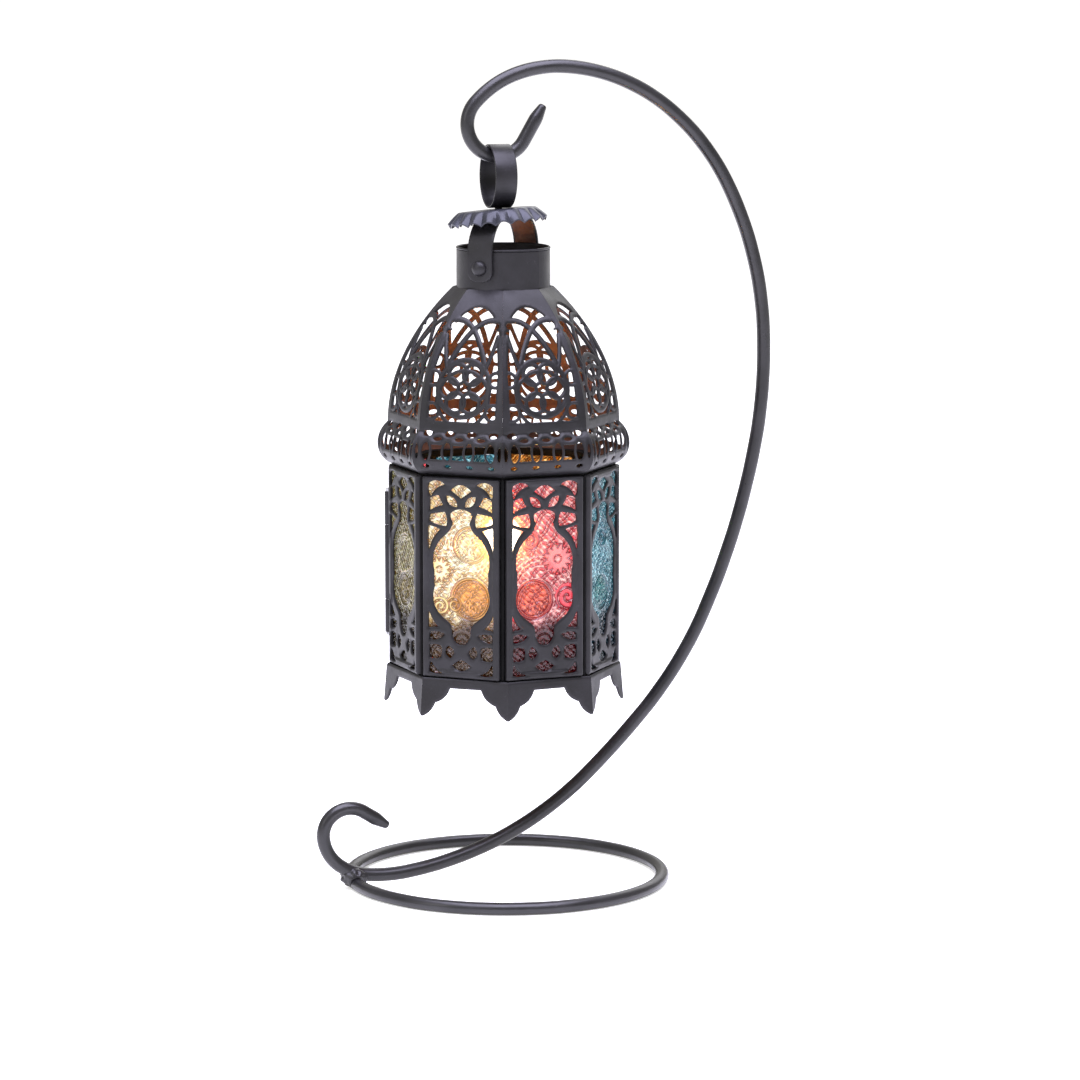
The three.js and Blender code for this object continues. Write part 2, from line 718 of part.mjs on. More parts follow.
function hingeKnuckles() {
  const { bottom, low, high, top } = HINGE;
  const lower = part('hinge_knuckle_lower', knuckle(bottom, low), blackPaint);
  const upper = part('hinge_knuckle_upper', knuckle(high, top), blackPaint);
  const knuckles = group(lower, upper, part('hinge_pin', hingePinGeometry(), bareSteel));
  knuckles.position.copy(hingePlace());
  return knuckles;
}

function hingePinGeometry() {
  const { pin, barrel, bottom, top } = HINGE;
  const [low, high] = [bottom - GAP, top + GAP];
  const profile = [
    [0, low - 1], [barrel - 0.3, low - 1], [barrel - 0.3, low], [pin, low],
    [pin, high], [barrel - 0.3, high], [barrel - 0.3, high + 1], [0, high + 1],
  ];
  return turned(profile, 12);
}

// The middle knuckle and its narrow leaf, which turn with the door
function doorKnuckle() {
  const { low, high, bore } = HINGE;
  const barrel = solid(knuckle(low + GAP, high - GAP));
  const faceToPlan = faceFrame(faceAzimuth(DOOR_FACE));
  const place = hingePlace();
  const edge = PANEL.half - PANEL.hingeRelief + GAP;
  const seat = PANEL.front - SHEET;
  const leaf = box(edge, low + 2, seat - 0.7, edge + 1.1, high - 2, seat).applyMatrix4(faceToPlan);
  leaf.translate(-place.x, -place.y, 0);
  const hole = solid(rod(bore, low, high, 16));
  const hinge = part('hinge_knuckle_door', geometryOf(barrel.add(solid(leaf)).subtract(hole)), blackPaint);
  hinge.position.copy(place);
  return hinge;
}

function pullHole() {
  return solid(rod(1.1, PANEL.front - 4, PANEL.front + 2, 12).translate(-PULL.inset, PULL.z, 0));
}

// A small knob riveted to the free edge of the door; z is outwards
function doorPull() {
  const { radius, reach, inset, z } = PULL;
  const front = PANEL.front;
  const profile = [
    [0, front - SHEET], [0.8, front - SHEET], [0.8, front + GAP], [1.6, front + GAP],
    [1.3, front + reach * 0.4], [radius, front + reach * 0.6], [radius, front + reach * 0.85],
    [radius * 0.6, front + reach], [0, front + reach],
  ];
  return part('door_pull', turned(profile, 14).translate(-inset, z, 0), blackPaint);
}

// ---- Assembly -----------------------------------------------------------------------------

function lantern() {
  const body = group(
    chimney(),
    bailRivet('bail_rivet_front', -BAIL.turn),
    bailRivet('bail_rivet_rear', 180 - BAIL.turn),
    domeGores(),
    bodyFrame(),
    baseSkirt(),
    floorPlate(),
    candleCup(),
    votiveCandle(),
    wick(),
    hingeKnuckles(),
    doorKnuckle(),
  );
  for (let i = 0; i < SIDES; i += 1) {
    const pieces = i === DOOR_FACE ? [panel(i), pane(i), doorPull()] : [panel(i), pane(i)];
    body.add(turnTo(group(...pieces), faceAzimuth(i)));
  }
  body.position.copy(lanternCentre());
  return body;
}

// The origin is on the surface, under the middle of the whole object
function candleLantern() {
  const object = group(stand(), hanger(), lantern());
  object.updateMatrixWorld(true);
  const bounds = new THREE.Box3().setFromObject(object, true);
  const centre = bounds.getCenter(new THREE.Vector3());
  object.position.set(-centre.x, -centre.y, -bounds.min.z);
  return object;
}

export default candleLantern();
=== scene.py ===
"""Candle lantern on a hook stand: the visual model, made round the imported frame.

Lengths are written in millimetres and turned into metres when a mesh is made. Faces of the lantern are
described by u along the face, z upwards and n outwards from the lantern's axis; w is z counted from the
middle of a panel.
"""
import math

import bmesh
import bpy
import numpy as np
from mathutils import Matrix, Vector, noise


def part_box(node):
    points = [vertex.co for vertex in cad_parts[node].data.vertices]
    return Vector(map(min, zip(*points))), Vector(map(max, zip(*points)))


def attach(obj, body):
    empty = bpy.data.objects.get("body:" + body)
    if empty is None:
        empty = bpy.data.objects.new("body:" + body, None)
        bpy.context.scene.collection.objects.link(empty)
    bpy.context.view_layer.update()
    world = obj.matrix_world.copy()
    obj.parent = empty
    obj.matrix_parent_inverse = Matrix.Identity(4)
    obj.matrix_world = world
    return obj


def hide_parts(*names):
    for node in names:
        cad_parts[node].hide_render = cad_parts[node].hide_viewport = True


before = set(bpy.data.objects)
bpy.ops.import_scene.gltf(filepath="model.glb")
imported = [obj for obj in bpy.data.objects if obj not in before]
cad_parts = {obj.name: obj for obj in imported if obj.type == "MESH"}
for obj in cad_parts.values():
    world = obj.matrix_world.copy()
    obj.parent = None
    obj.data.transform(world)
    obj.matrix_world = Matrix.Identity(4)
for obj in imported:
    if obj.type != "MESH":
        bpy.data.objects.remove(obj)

MM = 0.001
noise.seed_set(5)  # noise vectors would otherwise start from the clock
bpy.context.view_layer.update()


def box_mm(node):
    low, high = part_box(node)
    return np.array(low) / MM, np.array(high) / MM


def centre_mm(node):
    low, high = box_mm(node)
    return (low + high) / 2


def reach_mm(node):
    """Half of a node's box along each axis."""
    low, high = box_mm(node)
    return (high - low) / 2


def heights(node):
    """The lowest and the highest z of a node."""
    low, high = box_mm(node)
    return low[2], high[2]


# ---- Places and sizes, from the frame -------------------------------------------------------

RING = centre_mm("base_ring")
RING_OUTER = reach_mm("base_ring")[0]
AXIS = centre_mm("chimney_collar")
LOOP_CENTRE = centre_mm("hanging_loop")
LOOP_OUTER = reach_mm("hanging_loop")[2]
CHIMNEY_LOW, CHIMNEY_TOP = heights("chimney_collar")
CANDLE_LOW, CANDLE_TOP = heights("votive_candle")
CUP_LOW, CUP_TOP = heights("candle_cup")
PANEL_LOW, PANEL_TOP = heights("front_right_panel")
GLASS_LOW, GLASS_TOP = heights("front_right_glass")
SKIRT_LOW, SKIRT_TOP = heights("base_skirt")
GORE_LOW, GORE_TOP = heights("dome_gore_1")
BAIL_LOW, BAIL_TOP = heights("bail_strap")
HINGE_AXIS = centre_mm("hinge_knuckle_lower")

SIDES = 8
STEP = 360 / SIDES
SLOPE = math.tan(math.radians(STEP / 2))
TO_APOTHEM = math.cos(math.radians(STEP / 2))
SHEET = 0.8

# The stand's rod: one round bar, bent in an upright plane. Bends are (radius, degrees).
ROD_RADIUS = 2.8
ROD_STEP = 1.6  # between stations along the rod
ROD_TURN = 16
HOOK_LOW = (-3.0, 298.6)
HOOK_TIP_BENDS = [(13, 10.5), (12, 49.5)]
HOOK_TIP_STRAIGHT = 16.6
ARM_BENDS = [
    (13, 132.5), (42, 28), (51, 23), (78, 33.5), (95, 25), (146, 24), (200, 14.5), (304, 14),
    (164, 16.5), (344, 6), (142, 35), (66, 15), (23.5, 29), (16.5, 47), (11, 129),
]
CURL_TIP_STRAIGHT = 12.3
TIP_DRAWN = 6.0  # length of the blunt cone at each end
TIP_EASE = 0.9  # length of the eased edge at its end

# Face number, name and glass, turning to the right from the front corner
FACES = [
    ("front_right", "red"), ("right_front", "blue"), ("right_rear", "green"), ("rear_right", "amber"),
    ("rear_left", "blue"), ("door", "red"), ("left_front", "olive"), ("front_left", "yellow"),
]
DOOR = 5

# ---- Places ---------------------------------------------------------------------------------


def outward(azimuth):
    """The direction at an azimuth counted from the front, turning to the right."""
    a = math.radians(azimuth)
    return np.array([math.sin(a), -math.cos(a), 0.0])


def face_azimuth(index):
    return (index + 0.5) * STEP


def body_of(index):
    return "door" if index == DOOR else "lantern"


def on_axis(z):
    """The point of the lantern's axis at a height."""
    return np.array([AXIS[0], AXIS[1], z])


def on_face(azimuth):
    """Turns (u, z, n) into points of the row frame, for the face at an azimuth."""
    along, normal = outward(azimuth + 90), outward(azimuth)

    def place(u, z, n):
        points = np.outer(u, along) + np.outer(n, normal) + on_axis(0)
        points[:, 2] += z
        return points

    return place


def in_rod_plane(s, y, z):
    """Turns (along the rod's plane, across it, up) into a point of the row frame."""
    a = math.radians(ROD_TURN)
    along, across = np.array([math.cos(a), math.sin(a), 0]), np.array([-math.sin(a), math.cos(a), 0])
    return np.array([RING[0], RING[1], z]) + s * along + y * across


ROD_AXIS = in_rod_plane(1, 0, 0) - in_rod_plane(0, 0, 0)

# ---- Meshes ---------------------------------------------------------------------------------


def piece(name, shape, stands_for=(), body="lantern", slot="lantern_paint", materials=None, crease=38,
          rough=None, fields=()):
    """One finished object from (points in mm, faces, material numbers or None)."""
    points, faces, numbers = shape if len(shape) == 3 else (*shape, None)
    if rough:
        points = roughen(points, *rough)
    mesh = bpy.data.meshes.new(name)
    mesh.from_pydata((np.asarray(points, float) * MM).tolist(), [], [list(f) for f in faces])
    for material in materials or [LANTERN_PAINT]:
        mesh.materials.append(material)
    if numbers is not None:
        mesh.polygons.foreach_set("material_index", numbers)
    for field, values in dict(fields).items():
        mesh.attributes.new(field, "FLOAT", "POINT").data.foreach_set("value", values)
    tidy(mesh)
    mesh.shade_smooth()
    mesh.set_sharp_from_angle(angle=math.radians(crease))
    obj = bpy.data.objects.new(name, mesh)
    bpy.context.scene.collection.objects.link(obj)
    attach(obj, body)
    if stands_for:
        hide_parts(*stands_for)
    return obj


def tidy(mesh):
    """Joins points that lie on each other and turns every face outwards."""
    bm = bmesh.new()
    bm.from_mesh(mesh)
    bmesh.ops.remove_doubles(bm, verts=bm.verts, dist=1e-6)
    bmesh.ops.recalc_face_normals(bm, faces=bm.faces)
    bm.to_mesh(mesh)
    bm.free()


def together(*shapes):
    """Several closed shells as one mesh."""
    points, faces, start = [], [], 0
    for shell in shapes:
        points.extend(np.asarray(shell[0]).tolist())
        faces.extend([tuple(i + start for i in face) for face in shell[1]])
        start = len(points)
    return np.array(points), faces


def loft(rings, closed):
    """Faces between rings of points. The ends are capped, unless the last ring joins the first."""
    rings = np.asarray(rings, float)
    count, around = rings.shape[:2]
    faces = []
    for i in range(count if closed else count - 1):
        j = (i + 1) % count
        for k in range(around):
            m = (k + 1) % around
            faces.append((i * around + k, i * around + m, j * around + m, j * around + k))
    if not closed:
        last = (count - 1) * around
        faces.append(tuple(reversed(range(around))))
        faces.append(tuple(range(last, last + around)))
    return rings.reshape(-1, 3), faces


def turned(profile, origin, axis=(0, 0, 1), segments=48):
    """A closed profile of (radius, height) turned about an axis."""
    axis = Vector(axis).normalized()
    side = axis.orthogonal().normalized()
    across = axis.cross(side)
    profile = np.asarray(profile, float)
    rings = []
    for i in range(segments):
        a = 2 * math.pi * i / segments
        direction = np.array(side * math.cos(a) + across * math.sin(a))
        rings.append(origin + np.outer(profile[:, 0], direction) + np.outer(profile[:, 1], axis))
    return loft(rings, closed=True)


def rounded(outline, radius, steps=4):
    """A closed outline with its corners eased; a corner on the axis stays sharp."""
    outline = np.asarray(outline, float)
    eased = []
    for before, here, after in zip(np.roll(outline, 1, 0), outline, np.roll(outline, -1, 0)):
        if abs(here[0]) < 1e-6:
            eased.append(here)
            continue
        start = here + (before - here) * min(0.45, radius / np.linalg.norm(before - here))
        end = here + (after - here) * min(0.45, radius / np.linalg.norm(after - here))
        for t in np.linspace(0, 1, steps):
            eased.append((1 - t) ** 2 * start + 2 * t * (1 - t) * here + t * t * end)
    return np.array(eased)


def arc(centre, radii, start, end, count):
    """Points along a stretch of an ellipse, from one angle to another in radians."""
    return [(centre[0] + radii[0] * math.cos(a), centre[1] + radii[1] * math.sin(a))
            for a in np.linspace(start, end, count)]


def box_section(low, high, ease):
    """A rectangle between two corners, with eased corners."""
    return rounded([low, (high[0], low[1]), high, (low[0], high[1])], ease)


def roughen(points, amount, scale):
    """Moves each point by a small smooth noise, because the metal is worked by hand."""
    return np.array([p + amount * np.array(noise.noise_vector(Vector(p) * scale)) for p in points])


def bezier(points, steps):
    points = np.asarray(points, float)
    t = np.linspace(0, 1, steps + 1)[:, None]
    if len(points) == 3:
        return (1 - t) ** 2 * points[0] + 2 * t * (1 - t) * points[1] + t * t * points[2]
    a, b, c, d = points
    return (1 - t) ** 3 * a + 3 * t * (1 - t) ** 2 * b + 3 * t * t * (1 - t) * c + t ** 3 * d


# ---- Pierced sheets -------------------------------------------------------------------------


def outline(*corners):
    """A closed outline from (u, w, bulge): how far the next side bows out, as a share of its length."""
    points = []
    for (x0, y0, bulge), (x1, y1, _) in zip(corners, corners[1:] + corners[:1]):
        for t in np.linspace(0, 1, 9)[:-1] if bulge else [0]:
            lift = 4 * bulge * t * (1 - t)
            points.append((x0 + t * (x1 - x0) + lift * (y1 - y0), y0 + t * (y1 - y0) - lift * (x1 - x0)))
    return np.array(points)


def to_line(u, w, start, end):
    """Distance to the straight line between two points."""
    (x0, y0), (x1, y1) = start, end
    dx, dy = x1 - x0, y1 - y0
    t = np.clip(((u - x0) * dx + (w - y0) * dy) / (dx * dx + dy * dy), 0, 1)
    return np.hypot(u - x0 - t * dx, w - y0 - t * dy)


def inside(u, w, shape):
    """Distance to a closed outline, positive inside it."""
    nearest = np.full(np.shape(u), np.inf)
    within = np.zeros(np.shape(u), bool)
    for start, end in zip(shape, np.roll(shape, -1, 0)):
        nearest = np.minimum(nearest, to_line(u, w, start, end))
        (x0, y0), (x1, y1) = start, end
        if y1 != y0:
            within ^= ((y0 > w) != (y1 > w)) & (u < x0 + (w - y0) * (x1 - x0) / (y1 - y0))
    return np.where(within, nearest, -nearest)


def stroke(u, w, path, width):
    """Distance into a stroke of even width along a path."""
    return width / 2 - np.minimum.reduce([to_line(u, w, *ends) for ends in zip(path, path[1:])])


def ellipse(u, w, centre, radii):
    """Roughly the distance into an ellipse."""
    return (1 - np.hypot((u - centre[0]) / radii[0], (w - centre[1]) / radii[1])) * min(radii)


def hoop(u, w, centre, radius, width):
    """Distance into a round ring of even width."""
    return width / 2 - np.abs(np.hypot(u - centre[0], w - centre[1]) - radius)


def pierced(metal, *openings):
    """Depth into a sheet after openings, each a distance into it, are taken away."""
    return np.minimum.reduce([metal, *(-opening for opening in openings)])


LEAST_DEPTH = 0.03  # keeps the cut edge off the corners of the grid


def cut_sheet(half, low, high, pitch, metal):
    """Small faces that cover the places where metal(u, w) is above 0, cut exactly along its edge.

    Gives the points as (u, w), the faces, and the edges of the rim in the faces' own direction.
    """
    us = np.linspace(-half, half, round(2 * half / pitch) + 1)
    ws = np.linspace(low, high, round((high - low) / pitch) + 1)
    depth = metal(*np.meshgrid(us, ws, indexing="ij"))
    depth = np.where(np.abs(depth) < LEAST_DEPTH, LEAST_DEPTH, depth)
    numbers, points, faces = {}, [], []

    def number(key, u, w):
        if key not in numbers:
            numbers[key] = len(points)
            points.append((u, w))
        return numbers[key]

    for i in range(len(us) - 1):
        for j in range(len(ws) - 1):
            cell = [(i, j), (i + 1, j), (i + 1, j + 1), (i, j + 1)]
            face = []
            for here, after in zip(cell, cell[1:] + cell[:1]):
                if depth[here] > 0:
                    face.append(number(here, us[here[0]], ws[here[1]]))
                if (depth[here] > 0) != (depth[after] > 0):
                    a, b = sorted((here, after))
                    t = depth[a] / (depth[a] - depth[b])
                    u = us[a[0]] + t * (us[b[0]] - us[a[0]])
                    w = ws[a[1]] + t * (ws[b[1]] - ws[a[1]])
                    face.append(number((a, b), u, w))
            if len(face) > 2:
                faces.append(face)
    edges = {(a, b) for face in faces for a, b in zip(face, face[1:] + face[:1])}
    rim = sorted(edge for edge in edges if edge[::-1] not in edges)
    return np.array(points), faces, rim


def thicken(cut, front, back):
    """A closed shell from a cut sheet and two functions that place its front and its back.

    The back takes the second material.
    """
    flat, faces, rim = cut
    u, w = flat.T
    count = len(flat)
    points = np.vstack([front(u, w), back(u, w)])
    rear = [tuple(i + count for i in reversed(face)) for face in faces]
    walls = [(a, a + count, b + count, b) for a, b in rim]
    numbers = [0] * len(faces) + [1] * len(rear) + [0] * len(walls)
    return points, [tuple(face) for face in faces] + rear + walls, numbers


def crown(depth, height, width):
    """How far a pressed stroke falls towards its edge."""
    return -height * (1 - np.clip(depth / width, 0, 1)) ** 2


# ---- Materials ------------------------------------------------------------------------------


MIX_SOCKETS = (0, 6, 7)  # a colour mixer's amount, first and second colour


def shade(colour, share, second=(0, 0, 0), second_share=0):
    """A share of a colour, with a share of a second one."""
    return tuple(share * a + second_share * b for a, b in zip(colour, second))


class Finish:
    """A material with a few short ways to join its nodes."""

    def __init__(self, name):
        self.material = bpy.data.materials.new(name)
        self.material.use_nodes = True
        self.tree = self.material.node_tree
        self.shader = self.tree.nodes["Principled BSDF"]
        self.place = self.node("ShaderNodeTexCoord").outputs["Object"]

    def node(self, kind, **settings):
        made = self.tree.nodes.new(kind)
        for key, value in settings.items():
            setattr(made, key, value)
        return made

    def feed(self, socket, source):
        """Joins another node's output to a socket, or gives the socket a number or a colour."""
        if isinstance(source, bpy.types.NodeSocket):
            self.tree.links.new(source, socket)
        else:
            socket.default_value = (*source, 1) if isinstance(source, tuple) else source

    def noise(self, scale, detail=3.0, stretch=None):
        place = self.place
        if stretch:
            mapping = self.node("ShaderNodeMapping")
            mapping.inputs["Scale"].default_value = stretch
            self.feed(mapping.inputs["Vector"], place)
            place = mapping.outputs["Vector"]
        texture = self.node("ShaderNodeTexNoise")
        for name, source in (("Scale", scale), ("Detail", detail), ("Vector", place)):
            self.feed(texture.inputs[name], source)
        return texture.outputs["Fac"]

    def ramp(self, value, *stops):
        ramp = self.node("ShaderNodeValToRGB")
        while len(ramp.color_ramp.elements) < len(stops):
            ramp.color_ramp.elements.new(0.5)
        for element, (place, colour) in zip(ramp.color_ramp.elements, stops):
            element.position = place
            element.color = (*colour, 1)
        self.feed(ramp.inputs["Fac"], value)
        return ramp.outputs["Color"]

    def between(self, value, low, high, start=0.3, end=0.7):
        """Moves a value's range from start and end to low and high."""
        span = self.node("ShaderNodeMapRange")
        ends = {"Value": value, "From Min": start, "From Max": end, "To Min": low, "To Max": high}
        for name, source in ends.items():
            self.feed(span.inputs[name], source)
        return span.outputs["Result"]

    def mix(self, amount, first, second):
        mixer = self.node("ShaderNodeMix", data_type="RGBA")
        for number, source in zip(MIX_SOCKETS, (amount, first, second)):
            self.feed(mixer.inputs[number], source)
        return mixer.outputs[2]

    def sum(self, first, second, operation="ADD"):
        maths = self.node("ShaderNodeMath", operation=operation)
        self.feed(maths.inputs[0], first)
        self.feed(maths.inputs[1], second)
        return maths.outputs[0]

    def bump(self, height, distance, strength=1.0):
        bump = self.node("ShaderNodeBump")
        for name, source in (("Strength", strength), ("Distance", distance), ("Height", height)):
            self.feed(bump.inputs[name], source)
        self.set(Normal=bump.outputs["Normal"])

    def set(self, **sockets):
        for name, value in sockets.items():
            self.feed(self.shader.inputs[name.replace("_", " ")], value)


def enamel(name, dark, light, roughness, metallic, shine=0.34):
    """Satin enamel over steel: softly mottled, with fine pebbling and a few thin rubbed specks."""
    finish = Finish(name)
    clouds = finish.noise(55, 5)
    colour = finish.ramp(clouds, (0.32, dark), (0.68, light))
    rubbed = finish.between(finish.noise(650, 2), 0.0, 0.5, start=0.7, end=0.8)
    colour = finish.mix(rubbed, colour, shade(light, 2.2))
    grain = finish.sum(finish.noise(1400, 2), finish.noise(260, 3))
    finish.bump(grain, 0.00008, 0.5)
    finish.set(Base_Color=colour, Roughness=finish.between(finish.noise(120, 4), *roughness))
    finish.set(Metallic=metallic, Specular_IOR_Level=shine)
    return finish.material


def inside_with_painted_glow(name):
    """The inside of the lantern: a reddish brown, uneven in patches, that stands for the candle's warm light
    on the dark sheet, a painted glow.
    """
    finish = Finish(name)
    patches = finish.noise(70, 6)
    colour = finish.ramp(patches, (0.3, (0.03, 0.013, 0.008)), (0.52, (0.1, 0.036, 0.014)),
                         (0.75, (0.19, 0.068, 0.022)))
    finish.bump(finish.noise(700, 4), 0.00012, 0.6)
    finish.set(Base_Color=colour, Roughness=finish.between(patches, 0.75, 0.5), Metallic=0.25)
    return finish.material


def drawn_wire(name):
    finish = Finish(name)
    lines = finish.noise(900, 2, stretch=(1, 1, 0.05))
    colour = finish.ramp(lines, (0.3, (0.3, 0.3, 0.31)), (0.7, (0.52, 0.52, 0.53)))
    finish.bump(lines, 0.00005, 0.4)
    finish.set(Base_Color=colour, Roughness=finish.between(lines, 0.28, 0.45), Metallic=1.0)
    return finish.material


def wax(name):
    finish = Finish(name)
    clouds = finish.noise(60, 4)
    colour = finish.ramp(clouds, (0.3, (0.83, 0.66, 0.42)), (0.7, (0.93, 0.82, 0.6)))
    finish.bump(finish.noise(500, 3), 0.0001, 0.4)
    finish.set(Base_Color=colour, Roughness=finish.between(clouds, 0.4, 0.6))
    finish.set(Subsurface_Weight=0.35, Subsurface_Scale=0.006)
    return finish.material


def burnt_cotton(name):
    finish = Finish(name)
    strands = finish.noise(2500, 3, stretch=(1, 1, 0.3))
    colour = finish.ramp(strands, (0.35, (0.01, 0.009, 0.008)), (0.7, (0.09, 0.07, 0.05)))
    finish.bump(strands, 0.0002, 0.8)
    finish.set(Base_Color=colour, Roughness=finish.between(strands, 0.8, 1.0))
    return finish.material


def coloured_glass(name, painted_shade_tone, body, painted_ridge_highlight, accent, painted_halo, strength):
    """Pressed glass with painted light: a painted highlight on the ridges, painted shade along every step of
    the relief, and a painted glow of the flame, uneven over the pane, which gives off light of its own.

    The relief, its steps, the disc, the painted glow of the flame and the painted shade near the foot are
    fields of the mesh.
    """
    finish = Finish(name)
    relief, steps, disc, glow, painted_shade = (
        finish.node("ShaderNodeAttribute", attribute_name=field).outputs["Fac"]
        for field in ("relief", "steps", "disc", "glow", "painted_shade"))
    clouds = finish.noise(60, 4)
    level = finish.sum(relief, finish.between(clouds, -0.25, 0.25))
    # painted highlight: the ridges are paler than the ground
    colour = finish.ramp(level, (0.1, body), (0.75, painted_ridge_highlight))
    streaks = finish.between(finish.noise(240, 2), 0.0, 0.4, 0.52, 0.68)
    colour = finish.mix(streaks, colour, body)
    strong = finish.ramp(level, (0.15, shade(accent, 0.5)), (0.7, accent))
    colour = finish.mix(finish.sum(disc, 0.9, "MULTIPLY"), colour, strong)
    # painted shade: darker towards the foot and a little at the top corners
    painted_shade_colour = finish.ramp(level, (0.4, painted_shade_tone), (1.0, shade(painted_shade_tone, 0.65, body, 0.3)))
    colour = finish.mix(painted_shade, colour, painted_shade_colour)
    # painted glow of the flame round its place on the pane
    colour = finish.mix(finish.between(glow, 0.0, 1.0, 0.05, 0.5), colour, painted_halo)
    # painted shade: dark lines along the steep steps of the relief, fading where the painted glow is strong
    drawn, outshone = finish.between(steps, 0.0, 1.0, 0.12, 0.7), finish.between(glow, 1.0, 0.0, 0, 0.9)
    painted_line_shade = finish.mix(painted_shade, shade(painted_shade_tone, 0.75, body, 0.1), painted_shade_tone)
    colour = finish.mix(finish.sum(drawn, outshone, "MULTIPLY"), colour, painted_line_shade)
    # painted glow: nearly white where it is strongest
    colour = finish.mix(finish.between(glow, 0.0, 0.9, 0.5, 0.85), colour, PAINTED_GLOW_WHITE)
    # the pane gives off light of its own, less towards the foot and most near the flame: painted glow
    even, hot = finish.between(painted_shade, strength, 0.02, 0.0, 1.0), finish.between(glow, 0.0, 2.0, 0.35, 0.95)
    finish.set(Base_Color=colour, Emission_Color=colour, Emission_Strength=finish.sum(even, hot))
    finish.set(Roughness=finish.between(clouds, 0.06, 0.16), Transmission_Weight=0.88, IOR=1.5)
    finish.bump(finish.noise(600, 2), 0.00012, 0.35)
    return finish.material


def flame_light(name):
    """Blue at the wick, white-yellow in the middle, orange at the tip."""
    finish = Finish(name)
    height = finish.node("ShaderNodeSeparateXYZ")
    finish.feed(height.inputs[0], finish.place)
    low, high = (CANDLE_TOP + 1) * MM, (CANDLE_TOP + FLAME_HEIGHT) * MM
    rise = finish.between(height.outputs["Z"], 0.0, 1.0, low, high)
    uneven = finish.sum(rise, finish.between(finish.noise(300, 2), -0.06, 0.06))
    colour = finish.ramp(uneven, (0.0, (0.25, 0.2, 0.9)), (0.2, (1.0, 0.55, 0.15)),
                         (0.6, (1.0, 0.82, 0.45)), (1.0, (1.0, 0.5, 0.12)))
    finish.set(Base_Color=colour, Emission_Color=colour, Emission_Strength=9.0, Roughness=0.9)
    return finish.material


FLAME_HEIGHT = 27
# the white core of the flame's painted glow on the glass
PAINTED_GLOW_WHITE = (1.0, 0.96, 0.86)

STAND_PAINT = enamel("stand_enamel", (0.01, 0.01, 0.011), (0.022, 0.021, 0.023), (0.27, 0.38), 0.2, 0.55)
LANTERN_PAINT = enamel("lantern_enamel", (0.011, 0.0105, 0.011), (0.022, 0.021, 0.024), (0.33, 0.46), 0.3)
# the cap's enamel is lighter and bluer than the lantern's: painted sheen of the light from above
CAP_PAINTED_SHEEN = enamel("cap_enamel_painted_sheen", (0.022, 0.023, 0.029), (0.045, 0.047, 0.06), (0.26, 0.38), 0.4)
# near black for the rails, the corner posts and the lip over the panes: painted shade between the parts
PAINTED_SHADE_ENAMEL = enamel("painted_shade_enamel", (0.002, 0.002, 0.002), (0.005, 0.005, 0.005), (0.7, 0.9), 0.0, 0.1)
# painted glow: the candle's warm light on the inside, as a reddish brown
INSIDE_PAINTED_GLOW = inside_with_painted_glow("inside_painted_candle_glow")
TWO_FACED = [LANTERN_PAINT, INSIDE_PAINTED_GLOW]  # enamel outside, painted candle glow inside
STEEL = drawn_wire("drawn_wire")
WAX = wax("ivory_wax")
COTTON = burnt_cotton("burnt_cotton")
FLAME = flame_light("flame_light")
GLASS_COLOURS = {  # painted shade, body, painted highlight of the ridges, disc, painted glow round the flame
    "red": ((0.12, 0.003, 0.008), (0.72, 0.08, 0.11), (1.0, 0.6, 0.58), (1.0, 0.2, 0.09), (1.0, 0.42, 0.22)),
    "blue": ((0.008, 0.035, 0.055), (0.03, 0.19, 0.26), (0.36, 0.68, 0.75), (0.04, 0.3, 0.26),
             (0.25, 0.55, 0.6)),
    "green": ((0.005, 0.03, 0.02), (0.07, 0.3, 0.18), (0.45, 0.75, 0.5), (0.2, 0.5, 0.2), (0.5, 0.8, 0.5)),
    "amber": ((0.07, 0.015, 0.003), (0.6, 0.2, 0.02), (1.0, 0.6, 0.18), (0.8, 0.3, 0.03), (1.0, 0.6, 0.2)),
    "olive": ((0.03, 0.02, 0.005), (0.18, 0.13, 0.03), (0.5, 0.5, 0.28), (0.3, 0.23, 0.05), (0.5, 0.5, 0.25)),
    "yellow": ((0.13, 0.05, 0.01), (0.8, 0.6, 0.28), (1.0, 0.98, 0.78), (0.95, 0.38, 0.04),
               (1.0, 0.58, 0.14)),
}
# how much light each glass gives off of its own: painted glow of the candle
PAINTED_GLASS_GLOW = {"red": 0.68, "blue": 0.34, "green": 0.3, "amber": 0.35, "olive": 0.3, "yellow": 0.78}
GLASS = {name: coloured_glass(f"{name}_pane", *GLASS_COLOURS[name], light)
         for name, light in PAINTED_GLASS_GLOW.items()}

# ---- Stand ----------------------------------------------------------------------------------

WELD_LOW = 0.3
STAND = {"body": "stand", "slot": "stand_paint", "materials": [STAND_PAINT]}


def bend(start, heading, bends, straight, side):
    """Points and headings along a run of arcs and a last straight; side -1 turns clockwise."""
    run = []
    (s, z), now = start, math.radians(heading)
    for radius, sweep in bends:
        steps = max(3, round(radius * math.radians(sweep) / ROD_STEP), round(sweep / 5))
        turn = side * math.radians(sweep) / steps
        chord = 2 * radius * math.sin(abs(turn) / 2)
        for _ in range(steps):
            s += chord * math.cos(now + turn / 2)
            z += chord * math.sin(now + turn / 2)
            now += turn
            run.append((s, z, now))
    steps = max(2, round(straight / ROD_STEP))
    for _ in range(steps):
        s += straight / steps * math.cos(now)
        z += straight / steps * math.sin(now)
        run.append((s, z, now))
    return run


def rod_run():
    tip = bend(HOOK_LOW, 0, HOOK_TIP_BENDS, HOOK_TIP_STRAIGHT, 1)
    arm = bend(HOOK_LOW, 180, ARM_BENDS, CURL_TIP_STRAIGHT, -1)
    back = [(s, z, heading + math.pi) for s, z, heading in reversed(arm)]
    return np.array(back + [(*HOOK_LOW, 0.0)] + tip)


